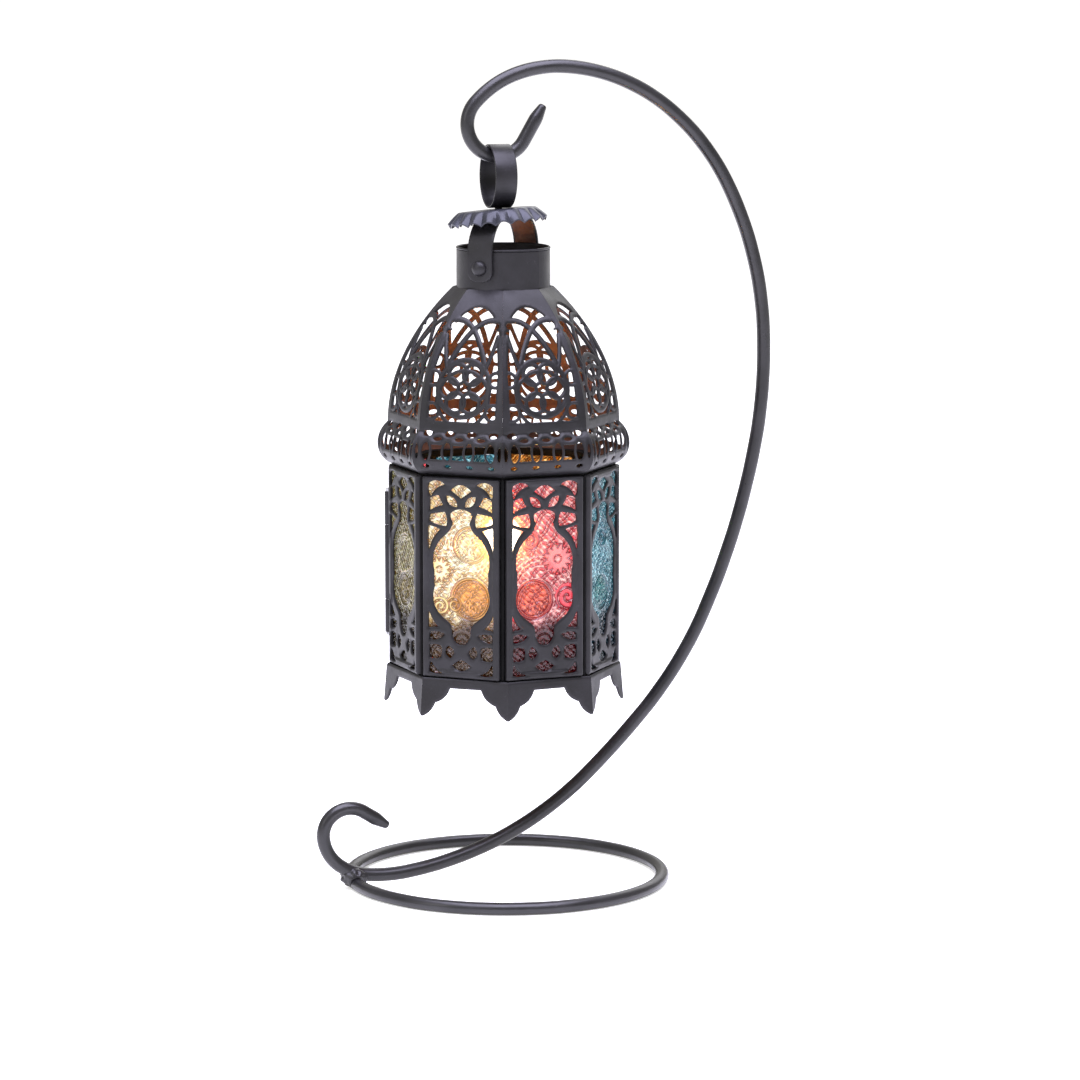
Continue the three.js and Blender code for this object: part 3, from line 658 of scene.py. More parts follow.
def tip_scale(distance):
    """The rod's ends are dressed to a blunt cone, with an eased edge."""
    drawn = 1 - 0.46 * (1 - min(1, distance / TIP_DRAWN))
    if distance < TIP_EASE:
        drawn *= 0.55 + 0.45 * math.sqrt(1 - (1 - distance / TIP_EASE) ** 2)
    return drawn


def hook_rod():
    run = rod_run()
    length = np.concatenate([[0], np.cumsum(np.hypot(*np.diff(run[:, :2], axis=0).T))])
    angles = np.linspace(0, 2 * math.pi, 25)[:-1]
    stations = list(zip(run, length))
    for share in (0.08, 0.3, 0.65, 1.0):  # more stations in the eased ends
        for place in (share * TIP_EASE, length[-1] - share * TIP_EASE):
            stations.append((between_rows(run, length, place), place))
    stations.sort(key=lambda station: station[1])
    rings = []
    for (s, z, heading), along in stations:
        radius = ROD_RADIUS * tip_scale(min(along, length[-1] - along))
        rings.append([in_rod_plane(s - a * math.sin(heading), b, z + a * math.cos(heading))
                      for a, b in zip(radius * np.cos(angles), radius * np.sin(angles))])
    piece("hook_rod_bar", loft(rings, closed=False), ["stand_rod"], crease=60, rough=(0.07, 0.09), **STAND)


def between_rows(run, length, place):
    return np.array([np.interp(place, length, run[:, column]) for column in range(3)])


def ring_bar():
    height = RING[2]
    radii = (ROD_RADIUS, min(height, ROD_RADIUS))
    section = arc((RING_OUTER - ROD_RADIUS, 0), radii, 0, 2 * math.pi, 21)[:-1]
    points, faces = turned(section, np.array([*RING[:2], height]), segments=144)
    points = roughen(points, 0.06, 0.07)
    points[:, 2] = np.maximum(points[:, 2], 0)
    piece("base_ring_bar", (points, faces), ["base_ring"], crease=60, **STAND)


def weld_lump():
    """A hand-laid weld: an uneven lump between the rod and the ring."""
    bm = bmesh.new()
    bmesh.ops.create_icosphere(bm, subdivisions=4, radius=1)
    centre, reach = centre_mm("weld_bead"), reach_mm("weld_bead")
    points = []
    for vert in bm.verts:
        lump = 0.93 + 0.16 * noise.noise(vert.co * 2.6) + 0.06 * noise.noise(vert.co * 7)
        points.append(centre + np.array(vert.co) * reach * lump)
    points = np.array(points)
    points[:, 2] = np.maximum(points[:, 2], WELD_LOW)
    faces = [tuple(v.index for v in face.verts) for face in bm.faces]
    bm.free()
    piece("weld_lump", (points, faces), ["weld_bead"], crease=70, **STAND)


# ---- Hanger ---------------------------------------------------------------------------------


LOOP_WIDTH = 9.0
LOOP_SHEET = 0.85
RIVET_SHANK = 1.5


def loop_band():
    section = box_section((LOOP_OUTER - LOOP_SHEET, -LOOP_WIDTH / 2), (LOOP_OUTER, LOOP_WIDTH / 2), 0.35)
    band = turned(section, LOOP_CENTRE, ROD_AXIS, 112)
    piece("loop_band", band, ["hanging_loop"], "loop", rough=(0.08, 0.06))


def loop_rivet():
    """A rivet with a flat head under the cap and a domed one inside the loop."""
    reach, _, rise = reach_mm("loop_rivet")
    profile = [(0, -rise), (reach, -rise + 0.3), (reach, 1.2 - rise), (RIVET_SHANK, 1.2 - rise),
               (RIVET_SHANK, rise - 1.2), *arc((0, rise - 1.0), (reach, 1.0), 0, math.pi / 2, 6)]
    piece("loop_rivet_heads", turned(profile, centre_mm("loop_rivet"), segments=32), ["loop_rivet"], "bail")


CAP_TOP = 277.5
CAP_FLAT = 15.4  # radius of the flat
CAP_RIM = 19.9
CAP_DROP = 5.2  # from the flat to the rim
CAP_SHEET = 0.6
CAP_FLUTES = 20
CAP_STEPS = 12  # round each flute
CAP_TILT = 4.2  # up towards the arm
CAP_LEAN = 4.5  # up at the front
CAP_SHIFT = -0.8  # along the rod's plane
CAP_SEAT = 0.32  # the dip round the rivet, so that the loop clears the cap when the bail turns


def fluted_cap():
    """A shallow dish whose skirt is crimped into flutes."""
    tilt, lean = math.radians(CAP_TILT), math.radians(CAP_LEAN)
    rings = []
    for a in np.arange(CAP_FLUTES * CAP_STEPS) * 2 * math.pi / (CAP_FLUTES * CAP_STEPS):
        wave = 2 * abs(math.sin(CAP_FLUTES * a / 2)) - 1
        top = [(2.6, -CAP_SEAT), (5.6, -CAP_SEAT), (8.2, -0.1), (CAP_FLAT - 1.4, -0.25)]
        for t in np.linspace(0, 1, 9):
            radius = CAP_FLAT + t * (CAP_RIM - CAP_FLAT) + 0.45 * wave * t
            top.append((radius, -0.35 - (CAP_DROP - 0.35) * t ** 1.15 + 0.75 * wave * t ** 0.7))
        under = [(radius - 0.25, z - CAP_SHEET) for radius, z in reversed(top)]
        ring = []
        for radius, z in top + under:
            x, y = radius * math.cos(a), radius * math.sin(a)
            x, z = x * math.cos(tilt) - z * math.sin(tilt), x * math.sin(tilt) + z * math.cos(tilt)
            y, z = y * math.cos(lean) + z * math.sin(lean), z * math.cos(lean) - y * math.sin(lean)
            ring.append(in_rod_plane(HOOK_LOW[0] + CAP_SHIFT + x, y, CAP_TOP + z))
        rings.append(ring)
    # the cap's enamel carries a painted sheen
    piece("fluted_cap", loft(rings, closed=True), ["canopy_cap"], "bail", materials=[CAP_PAINTED_SHEEN], crease=50,
          rough=(0.12, 0.08))


BAIL_TURN = 27  # of its ends from the front and the back
BAIL_SHEET = 1.1
BAIL_HALF = 5.5  # half its width
BAIL_BEND = 16.5  # outer radius of its shoulders
BAIL_REACH = 20.9  # from the axis to its outer face
BAIL_END_ROUND = 4.0


def bail_arch():
    """Stations along the middle of the strap, as (outwards, up, heading)."""
    radius = BAIL_BEND - BAIL_SHEET / 2
    n, top = BAIL_REACH - BAIL_SHEET / 2, BAIL_TOP - BAIL_SHEET / 2
    knee = top - radius
    rises = BAIL_LOW + (knee - BAIL_LOW) * np.linspace(0, 1, 17) ** 1.6
    left = [(-n, z, math.pi / 2) for z in rises[:-1]]
    left += [(-(n - radius) - radius * math.cos(a), knee + radius * math.sin(a), math.pi / 2 - a)
             for a in np.linspace(0, math.pi / 2, 17)]
    return left + [(-x, z, -heading) for x, z, heading in reversed(left)]


def bail_strap():
    """The strap that carries the chimney; its inner face takes the painted candle glow of the inside."""
    place = on_face(180 - BAIL_TURN)
    section = box_section((-1, -1), (1, 1), 0.3)
    rings = []
    for n, z, heading in bail_arch():
        rise = min(1.0, (z - BAIL_LOW) / BAIL_END_ROUND)
        half = BAIL_HALF - BAIL_END_ROUND * (1 - math.sqrt(max(0.0, 1 - (1 - rise) ** 2)))
        across = section[:, 0] * half
        through = section[:, 1] * BAIL_SHEET / 2
        rings.append(place(across, z + through * math.cos(heading), n - through * math.sin(heading)))
    # the inner faces take the painted candle glow of the inside
    inner_faces = [int(a[1] < -0.9 and b[1] < -0.9) for a, b in zip(section, np.roll(section, -1, 0))]
    numbers = inner_faces * (len(rings) - 1) + [0, 0]
    piece("bail_band", (*loft(rings, closed=False), numbers), ["bail_strap"], "bail",
          materials=TWO_FACED, rough=(0.07, 0.08))


# ---- Chimney and dome -----------------------------------------------------------------------

CHIMNEY_RADIUS = 19.0
CHIMNEY_TUCK = 2.2  # how far the tube reaches into the dome
BEAD = 0.5  # radius of the turned-over edge
SEAM_AZIMUTH = 47
SEAM_WIDTH = 13  # degrees that the lap takes to rise
SEAM_LIFT = 0.75
RIVET_HEAD = 3.05
RIVET_INSIDE = 18.0  # from the axis to the inner head


def chimney():
    """A rolled tube with a lapped seam and a turned-over top edge."""
    low = CHIMNEY_LOW - CHIMNEY_TUCK
    height = CHIMNEY_TOP - low
    bead = arc((CHIMNEY_RADIUS - 0.3, height - BEAD), (BEAD, BEAD), -math.pi / 2, math.pi, 9)
    inner, neck = CHIMNEY_RADIUS - SHEET, height - 1.2
    profile = np.array([(inner, 0), (CHIMNEY_RADIUS, 0), (CHIMNEY_RADIUS, neck), *bead, (inner, neck)])
    lap_start = SEAM_AZIMUTH - SEAM_WIDTH
    azimuths = sorted(set(np.arange(0, 360, 3.0)) | {lap_start + 0.1, SEAM_AZIMUTH, SEAM_AZIMUTH + 0.1})
    rings = []
    for azimuth in azimuths:
        rise = np.clip((azimuth - lap_start) / SEAM_WIDTH, 0, 1) * (azimuth <= SEAM_AZIMUTH)
        reach = profile[:, 0] + SEAM_LIFT * rise * (profile[:, 0] > CHIMNEY_RADIUS - 0.5)
        points = np.outer(reach, outward(azimuth)) + on_axis(low)
        points[:, 2] += profile[:, 1]
        rings.append(points)
    piece("chimney_tube", loft(rings, closed=True), ["chimney_collar"], rough=(0.1, 0.06))


def chimney_rivet(node, azimuth):
    """A domed rivet with a dressed edge."""
    outside, foot, inner = BAIL_REACH + 0.1, RIVET_HEAD - 0.4, RIVET_INSIDE
    profile = [(0, inner - 0.8), (foot, inner - 0.8), (foot, inner), (RIVET_SHANK, inner),
               (RIVET_SHANK, outside), (RIVET_HEAD + 0.05, outside),
               *arc((0, outside + 0.3), (RIVET_HEAD, 2.0), 0, math.pi / 2, 9)]
    piece(node + "_head", turned(profile, on_axis(centre_mm(node)[2]), outward(azimuth), 28), [node])


GORE_HALF = 20.5  # half the sheet that a gore is cut from
GORE_GAP = 0.02  # from each gore to the mitre between two
SHEET_GRID = 0.42  # size of the small faces of a cut sheet
WAIST = (47.2, 191.0)  # corner radius and height where the bell ends and the bulge starts


def dome_curve():
    """The dome's outer corner line as (corner radius, z), from the chimney to the foot."""
    bell = bezier([(20.3, GORE_TOP), (38, 229), (WAIST[0], 209), WAIST], 48)
    bulge = bezier([WAIST, (52.6, 186.5), (53.2, 177.5), (46.5, GORE_LOW)], 32)
    return np.vstack([bell, bulge[1:]])


DOME = dome_curve()[::-1]
DOME_HEADING = np.arctan2(np.gradient(DOME[:, 1]), np.gradient(DOME[:, 0] * TO_APOTHEM))


def dome_reach(z):
    """Distance from the axis to the middle of a gore at a height."""
    return np.interp(z, DOME[:, 1], DOME[:, 0]) * TO_APOTHEM


WINDOW = outline(
    (-14.7, 195.5, 0), (14.7, 195.5, 0), (14.2, 213.5, 0.02), (11.1, 227.0, 0.01), (8.2, 235.2, 0.29),
    (-8.2, 235.2, 0.01), (-11.1, 227.0, 0.02), (-14.2, 213.5, 0),
)
OGIVE = bezier([(-9.0, 235.0), (0.2, 236.4), (7.6, 218.6)], 14)
STAY = bezier([(11.2, 229.0), (10.6, 223.5), (8.6, 216.8)], 6)
BARS = ((OGIVE, 2.0), (STAY, 1.6))  # with their widths
MEDALLION = (0.0, 208.6)
MEDALLION_RADIUS = 11.2
ROSETTE_RADIUS = 6.4
ROSETTE_RING = 4.0
UNDER_RING = (0.0, 204.4)  # a second ring, interlaced with the medallion
BITES = [(9.5, 232.8), (10.6, 229.8)]  # two small notches beside the arch
BITE_RADII = (1.15, 1.35)
SIDE_RINGS = [(13.6, 212.4, 2.9), (13.4, 199.4, 3.2)]  # u, z, radius: they tie the medallion to the border
PITCH = 9.5  # between the openings round the bulge
AT_OVALS, BETWEEN = (-1.5, -0.5, 0.5, 1.5), (-1, 0, 1)  # their places, in pitches
BULGE_MIDDLE = 183.6
OVAL_ROWS = [  # places, height, radii
    (AT_OVALS, 190.6, (2.1, 1.0)), (BETWEEN, 188.7, (1.9, 0.8)), (AT_OVALS, BULGE_MIDDLE, (1.75, 3.75)),
    (AT_OVALS, 177.4, (1.5, 0.9)),
]
CORNER_SLOT = (18.1, 183.4)
CELL_BOW = (2.65, 4.7)  # the ovals that bound the cells between them


def dome_lattice(u, z):
    """Depth into the metal of a gore: the arched window with its medallion, then the rows of the bulge."""
    bites = [ellipse(side * u, z, centre, BITE_RADII) for side in (-1, 1) for centre in BITES]
    bars = [stroke(side * u, z, path, width) for side in (-1, 1) for path, width in BARS]
    bars += [hoop(np.abs(u), z, (across, up), radius, 1.3) for across, up, radius in SIDE_RINGS]
    bars += [hoop(u, z, MEDALLION, MEDALLION_RADIUS, 1.9), hoop(u, z, UNDER_RING, MEDALLION_RADIUS, 1.4)]
    for a in np.arange(6) * math.pi / 3:
        centre = (MEDALLION[0] + ROSETTE_RADIUS * math.cos(a), MEDALLION[1] + ROSETTE_RADIUS * math.sin(a))
        bars.append(hoop(u, z, centre, ROSETTE_RING, 1.45))
    window = pierced(-inside(u, z, WINDOW), *bites)
    return np.minimum(np.maximum.reduce([window, *bars]), bulge_rows(u, z))


def bulge_rows(u, z):
    """Depth into the metal round the bulge."""
    holes = [ellipse(u, z, (k * PITCH, row), radii) for places, row, radii in OVAL_ROWS for k in places]
    holes += [ellipse(side * u, z, CORNER_SLOT, (0.8, 3.2)) for side in (-1, 1)]
    holes += [concave_cell(u - k * PITCH, z) for k in BETWEEN]
    return pierced(np.full(np.shape(u), 5.0), *holes)


def concave_cell(u, z):
    """Depth into the opening left between two upright ovals."""
    beside = [-ellipse(u, z, (side * PITCH / 2, BULGE_MIDDLE), CELL_BOW) for side in (-1, 1)]
    return np.minimum.reduce([*beside, 3.1 - np.abs(z - 183.3), PITCH / 2 - np.abs(u)])


def gore_cut():
    def metal(u, z):
        side = dome_reach(z) * SLOPE - GORE_GAP - np.abs(u)
        return np.minimum.reduce([dome_lattice(u, z), side, z - GORE_LOW - 0.1, GORE_TOP - z - 0.1])

    return cut_sheet(GORE_HALF, GORE_LOW, GORE_TOP, SHEET_GRID, metal)


def gore_surface(place, depth):
    """Places (u, z) on a surface that lies depth(u, z) outside the dome's outer face."""

    def surface(u, z):
        heading = np.interp(z, DOME[:, 1], DOME_HEADING)
        offset = depth(u, z)
        reach = dome_reach(z) + offset * np.sin(heading)
        narrowed = u * reach / dome_reach(z)
        return place(narrowed, z - offset * np.cos(heading), reach)

    return surface


def dome_gores():
    cut = gore_cut()
    for i in range(SIDES):
        place = on_face(face_azimuth(i))
        front = gore_surface(place, lambda u, z: crown(dome_lattice(u, z), 0.32, 0.7))
        back = gore_surface(place, lambda u, z: -SHEET + 0 * z)
        name = f"dome_gore_{i + 1}"
        piece(name + "_pierced", thicken(cut, front, back), [name], materials=TWO_FACED, crease=45)


# ---- Body -----------------------------------------------------------------------------------

PANEL_MIDDLE = (PANEL_LOW + PANEL_TOP) / 2
PANEL_HALF = 16.65
PANEL_FRONT = 44.6  # from the axis to the outer face
PANEL_DEPTH = 2.4  # of its folded edge
PANEL_SUNK = 0.55  # from the border to the lattice
BORDER = 2.6  # the flat raised frame round each panel
DOOR_RELIEF = 1.0  # taken off the two edges beside the hinge

VASE_SIDE = [
    (0, 27.9), (2.4, 27.5), (4.5, 26.0), (4.5, 24.2), (3.8, 22.2), (5.3, 18.8), (9.3, 15.0), (11.8, 10.4),
    (12.3, 5.4), (11.7, 2.2), (11.9, -1.0), (11.6, -3.6), (12.3, -7.0), (11.9, -11.0), (9.8, -14.6),
    (7.2, -16.8), (4.9, -18.8), (4.2, -20.8), (3.9, -23.6), (2.2, -26.3), (0, -27.0),
]


def smooth_outline(side):
    """A closed symmetrical outline through the points of its right side."""
    ring = np.array(side + [(-u, w) for u, w in reversed(side[1:-1])], float)
    points = []
    for a, b, c, d in zip(np.roll(ring, 1, 0), ring, np.roll(ring, -1, 0), np.roll(ring, -2, 0)):
        for t in (0, 0.25, 0.5, 0.75):
            points.append(0.5 * (2 * b + (c - a) * t + (2 * a - 5 * b + 4 * c - d) * t * t
                                 + (3 * b - a - 3 * c + d) * t ** 3))
    return np.array(points)


VASE = smooth_outline(VASE_SIDE)

# Openings of the right half, as outlines that run anticlockwise; w counts from the panel's middle
SIDE_OPENINGS = [outline(*corners) for corners in (
    ((13.9, 38.0, 0.12), (8.6, 38.9, 0.1), (6.9, 37.6, -0.14), (13.0, 32.6, 0.08), (13.9, 34.0, 0.05)),
    ((13.4, 32.0, 0.05), (9.6, 33.2, -0.05), (7.7, 29.4, -0.05), (13.5, 27.0, 0)),
    ((6.4, 33.2, 0.25), (1.6, 28.8, 0.25)),
    ((7.0, 26.6, 0.1), (6.4, 20.9, 0.06), (13.6, 22.6, 0.08), (13.2, 25.6, 0)),
    ((14.1, 21.0, 0), (9.0, 19.6, -0.1), (14.1, 9.0, 0)),
    ((14.2, -12.2, -0.1), (9.8, -20.2, 0), (14.2, -20.6, 0)),
    ((7.2, -23.0, 0.14), (13.4, -25.6, 0.12), (13.3, -22.4, 0.1)),
    ((8.7, -28.0, 0.1), (8.9, -32.6, 0.1), (13.5, -32.8, 0.06), (13.6, -27.6, 0.1)),
    ((3.0, -30.0, 0.1), (5.0, -32.8, 0.1), (7.1, -30.0, 0.1), (5.6, -27.4, 0.1)),
    ((13.8, -38.7, 0.1), (13.2, -34.2, -0.14), (7.4, -38.8, 0.08)),
)]
MIDDLE_OPENINGS = [outline(*corners) for corners in (
    ((-4.5, 35.4, 0), (0, 32.3, 0), (4.5, 35.4, 0.26)),
    ((-4.2, -35.6, 0.24), (4.2, -35.6, 0.04), (0, -33.0, 0.04)),
)]


def panel_lattice(u, z):
    """Depth into the metal of a panel, which is pierced round a vase-shaped window."""
    w = z - PANEL_MIDDLE
    openings = [inside(u, w, shape) for shape in MIDDLE_OPENINGS]
    openings += [inside(np.abs(u), w, shape) for shape in SIDE_OPENINGS]
    return pierced(-inside(u, w, VASE), *openings)


PANEL_GRID = 0.4


def panel_edge(u, z, left, right):
    """Distance inwards from a panel's outer edge."""
    return np.minimum.reduce([u + left, right - u, z - PANEL_LOW, PANEL_TOP - z])


def panel_shape(index):
    left, right = (PANEL_HALF - DOOR_RELIEF * (index == beside) for beside in (DOOR + 1, DOOR))
    place = on_face(face_azimuth(index))

    def metal(u, z):
        return np.minimum(panel_lattice(u, z), panel_edge(u, z, left, right) - 0.04)

    def front(u, z):
        edge = panel_edge(u, z, left, right)
        step = np.clip((edge - BORDER) / 0.5, 0, 1)
        height = -PANEL_SUNK * step + crown(panel_lattice(u, z), 0.34, 0.8) + crown(edge, 0.7, 0.9)
        return place(u, z, PANEL_FRONT + height)

    def back(u, z):
        edge = panel_edge(u, z, left, right)
        return place(u, z, PANEL_FRONT - np.where(edge < SHEET, PANEL_DEPTH, SHEET + PANEL_SUNK))

    return thicken(cut_sheet(PANEL_HALF, PANEL_LOW, PANEL_TOP, PANEL_GRID, metal), front, back)


def panels():
    for index, (name, _) in enumerate(FACES):
        piece(f"{name}_pierced_panel", panel_shape(index), [f"{name}_panel"], body_of(index),
              materials=TWO_FACED, crease=45)


# ---- Glass ----------------------------------------------------------------------------------

GLASS_HALF = 14.7
GLASS_BACK = 41.2  # from the axis to the inner face
GLASS_THICK = 2.2
GLASS_GRID = 0.35
RELIEF_HEIGHT = 0.8
BEAD_PITCH = 1.45  # of the bumps in the ground


def ridge(distance, width):
    """1 on a line, falling softly to 0 on both sides of it."""
    return np.exp(-(distance / width) ** 2)


def beads(u, w, pitch):
    """A close, uneven carpet of small bumps."""
    k = math.pi / pitch
    drift = 0.7 * np.sin(0.52 * w + 0.31 * u + 1.3) + 0.4 * np.sin(1.1 * u - 0.7 * w)
    return np.clip(0.5 + 0.85 * np.sin(k * (u + drift)) * np.sin(k * (w - 0.8 * drift)), 0, 1)


def disc_motif(u, w, radius):
    """A stippled round field with an upright stem, inside a double rim."""
    r = np.hypot(u, w)
    rims = np.maximum(ridge(r - radius, 0.5), 0.9 * ridge(r - 0.8 * radius, 0.45))
    stem = ridge(u - 0.4 * np.sin(0.8 * w), 0.35) * (np.abs(w) < 0.5 * radius)
    lobes = ridge(np.hypot(np.abs(u) - 0.3 * radius, w + 0.35 * radius) - 0.22 * radius, 0.35)
    field = np.maximum.reduce([0.1 + 0.7 * beads(u, w, 1.4), stem, lobes]) * (r < 0.72 * radius)
    return np.maximum(rims, field)


def daisy_motif(u, w, radius, petals=12):
    """Outlined petals round a boss."""
    r, a = np.hypot(u, w), np.arctan2(w, u)
    across = np.abs(np.mod(a * petals / (2 * math.pi), 1) - 0.5) * 2 * math.pi * r / petals
    widest = 0.19 * radius * np.sin(np.clip((r / radius - 0.2) / 0.8, 0, 1) * math.pi) ** 0.6
    outlines = ridge(across - widest, 0.26) * (r < radius) * (r > 0.22 * radius)
    return np.maximum.reduce([outlines, 0.25 * (across < widest) * (r < radius), ridge(r, 0.18 * radius)])


def fan_motif(u, w, radius):
    """Ribs that spread upwards over stacked scallops."""
    r, a = np.hypot(u, w), np.arctan2(w, u)
    scallops = 0.5 + 0.5 * np.cos(2 * math.pi * r / 2.4)
    ribs = 0.5 + 0.5 * np.cos(16 * a)
    return (0.15 + 0.85 * scallops * (0.5 + 0.5 * ribs)) * (r < radius) * (w > -0.5)


def scroll_motif(u, w, radius):
    """A small spiral."""
    r, a = np.hypot(u, w), np.arctan2(w, u)
    turn = (r / radius * 2 - a / (2 * math.pi)) % 1
    return ridge(np.minimum(turn, 1 - turn) * radius / 2, 0.35) * (r < radius)


def rings_motif(u, w, radius):
    """Three plain rims, one inside the other."""
    r = np.hypot(u, w)
    return np.maximum.reduce([ridge(r - share * radius, 0.55) for share in (0.72, 0.86, 1.0)])


MOTIFS = {"disc": disc_motif, "daisy": daisy_motif, "fan": fan_motif, "scroll": scroll_motif,
          "rings": rings_motif}
RELIEFS = {  # motif, u, w from the panel's middle, radius
    "front_right": [("rings", -2.0, -5.0, 14.0), ("daisy", 6.1, 7.5, 6.4), ("disc", -4.4, -8.4, 8.6),
                    ("scroll", 10.5, -8.0, 5.6), ("scroll", -6.0, 15.5, 4.4), ("fan", 0, -25.5, 5.2)],
    "front_left": [("rings", 3.8, 13.6, 10.6), ("disc", 3.9, 13.6, 8.0), ("disc", 3.8, -8.4, 9.2),
                   ("daisy", -10.0, 3.0, 5.2), ("scroll", -3.4, -11.0, 3.6), ("scroll", -9.6, -12.0, 4.0),
                   ("fan", 0, -25.5, 5.2)],
    "right_front": [("rings", 0, 3.0, 10.0), ("disc", -1.0, -9.0, 7.5), ("scroll", 1.0, 13.0, 4.0)],
    "left_front": [("rings", 1.0, 6.0, 9.0), ("disc", 0, -8.0, 7.0), ("scroll", 0, -20.0, 3.2)],
    "right_rear": [("disc", 0, 0, 9.0), ("daisy", 0, 15.5, 5.0), ("scroll", 0, -15.5, 4.0)],
    "rear_right": [("daisy", 0, 0, 8.0), ("fan", 0, 11.0, 8.0), ("disc", 0, -15.5, 6.0)],
    "rear_left": [("fan", 0, 2.0, 10.0), ("disc", 0, -9.0, 8.0), ("daisy", 0, 18.5, 4.6)],
    "door": [("disc", 0, 9.0, 8.5), ("daisy", 0, -9.5, 7.0), ("scroll", 0, -20.5, 3.4)],
}


def glass_relief(u, w, motifs):
    """Height of the pressed pattern, 0 in the ground and 1 on the ridges."""
    height = 0.1 + 0.8 * beads(u, w, BEAD_PITCH)
    for kind, cu, cw, radius in motifs:
        motif = MOTIFS[kind](u - cu, w - cw, radius)
        cleared = (np.hypot(u - cu, w - cw) < radius) & (kind != "rings")
        if kind == "fan":
            cleared &= w > cw
        height = np.where(cleared, motif, np.maximum(height, motif))
    return height


def relief_steps(u, w, motifs):
    """How steep the pressed pattern is, 0 on the flat and 1 on its steepest steps."""
    reach, steepest = 0.22, 1.6
    across = glass_relief(u + reach, w, motifs) - glass_relief(u - reach, w, motifs)
    along = glass_relief(u, w + reach, motifs) - glass_relief(u, w - reach, motifs)
    return np.clip(np.hypot(across, along) / (2 * reach) / steepest, 0, 1)


def disc_field(u, w, name):
    """1 in the lowest disc of a pane, whose glass is of a stronger colour."""
    discs = [motif for motif in RELIEFS[name] if motif[0] == "disc"]
    _, cu, cw, radius = min(discs, key=lambda motif: motif[2])
    return np.clip((radius - np.hypot(u - cu, w - cw)) / 1.5, 0, 1)


# Where the flame's glow is painted on the glass: u, w, reach, strength
PAINTED_GLOWS = {"front_left": (15.0, 18.0, 6.2, 1.0), "front_right": (-15.0, 18.0, 5.8, 1.0)}
FAINT_PAINTED_GLOW = (0.0, 4.0, 3.0, 0.06)


def painted_glow_field(u, w, name):
    """How strongly the flame's glow is painted on a pane: the flame stands behind the corner between the two
    front panes.
    """
    cu, cw, reach, strength = PAINTED_GLOWS.get(name, FAINT_PAINTED_GLOW)
    ragged = 1 + 0.12 * np.sin(1.7 * u + 0.6 * w) * np.sin(1.3 * w)
    near = np.exp(-((u - cu) / (0.95 * reach)) ** 2 - ((w - cw) / (1.35 * reach)) ** 2)
    spread = np.exp(-((u - cu) / (2.2 * reach)) ** 2 - ((w - cw + 7) / (2.6 * reach)) ** 2)
    return np.clip(strength * ragged * (0.95 * near + 0.28 * spread), 0, 1)


def painted_shade_field(u, w):
    """1 where a pane gets painted shade, standing for the shade of the candle's cup: towards the foot, and a
    little at the top corners.
    """
    foot = np.clip((-15.0 - w + 1.5 * np.sin(0.5 * u)) / 6, 0, 1)
    corners = 0.16 * np.clip((w - 27) / 6, 0, 1) * np.clip(np.abs(u) / 9, 0.3, 1)
    return np.clip(0.96 * foot + corners, 0, 1)


def pane(index, name, colour):
    place = on_face(face_azimuth(index))
    cut = cut_sheet(GLASS_HALF, GLASS_LOW, GLASS_TOP, GLASS_GRID, lambda u, z: 1 + 0 * u)
    u, z = cut[0].T
    w = z - PANEL_MIDDLE
    motifs = RELIEFS[name]
    relief = glass_relief(u, w, motifs)
    # the painted glow and the painted shade are fields of the pane, beside its relief
    fields = {"relief": relief, "steps": relief_steps(u, w, motifs), "disc": disc_field(u, w, name),
              "glow": painted_glow_field(u, w, name), "painted_shade": painted_shade_field(u, w)}
    fields = {field: np.tile(values, 2) for field, values in fields.items()}
    wobble = 0.06 * np.sin(0.35 * u + 0.8) * np.sin(0.21 * z)
    crest = GLASS_BACK + GLASS_THICK - RELIEF_HEIGHT

    def front(u, z):
        return place(u, z, crest + RELIEF_HEIGHT * relief + wobble)

    def back(u, z):
        return place(u, z, GLASS_BACK + 2 * wobble)

    piece(f"{name}_pressed_pane", thicken(cut, front, back)[:2], [f"{name}_glass"], body_of(index),
          f"{colour}_glass", [GLASS[colour]], 60, fields=fields)


def panes():
    for index, (name, colour) in enumerate(FACES):
        pane(index, name, colour)


LIP_BACK, LIP_FRONT = 40.8, 41.9  # from the axis


def rail_lip():
    """The turned-down edge of the upper rail, which closes the slit over the panes; it is near black, painted
    shade in the slit.
    """
    low, high = GLASS_TOP + 0.35, PANEL_TOP + 0.15
    inner, outer = LIP_BACK / TO_APOTHEM, LIP_FRONT / TO_APOTHEM
    rings = []
    for i in range(SIDES):
        corner = outward(i * STEP)
        rings.append([on_axis(z) + reach * corner
                      for reach, z in ((inner, low), (outer, low), (outer, high), (inner, high))])
    piece("rail_lip", loft(rings, closed=True), materials=[PAINTED_SHADE_ENAMEL])


# ---- Skirt ----------------------------------------------------------------------------------

SKIRT_UPPER = 48.0 * TO_APOTHEM
SKIRT_LOWER = 49.3 * TO_APOTHEM
SKIRT_HALF = 20.6  # half the sheet that one side is cut from
FOOT_NOTCH = 87.5  # z of the edge between two feet
SKIRT_TURN = 2.5  # the skirt sits a little askew on the body


def skirt_reach(z):
    return SKIRT_LOWER + (SKIRT_UPPER - SKIRT_LOWER) * (z - SKIRT_LOW) / (SKIRT_TOP - SKIRT_LOW)


def foot_gap():
    """The opening between two feet: each foot has two lobes with a step between them."""
    half = SKIRT_LOWER * SLOPE + 0.3
    low = SKIRT_LOW
    return outline(
        (-half, low - 3, 0), (half, low - 3, 0), (half, low, -0.12), (half - 6.0, low + 5.9, 0),
        (half - 7.0, low + 6.3, -0.12), (half - 12.4, FOOT_NOTCH, 0), (-half + 12.4, FOOT_NOTCH, -0.12),
        (-half + 7.0, low + 6.3, 0), (-half + 6.0, low + 5.9, -0.12), (-half, low, 0),
    )


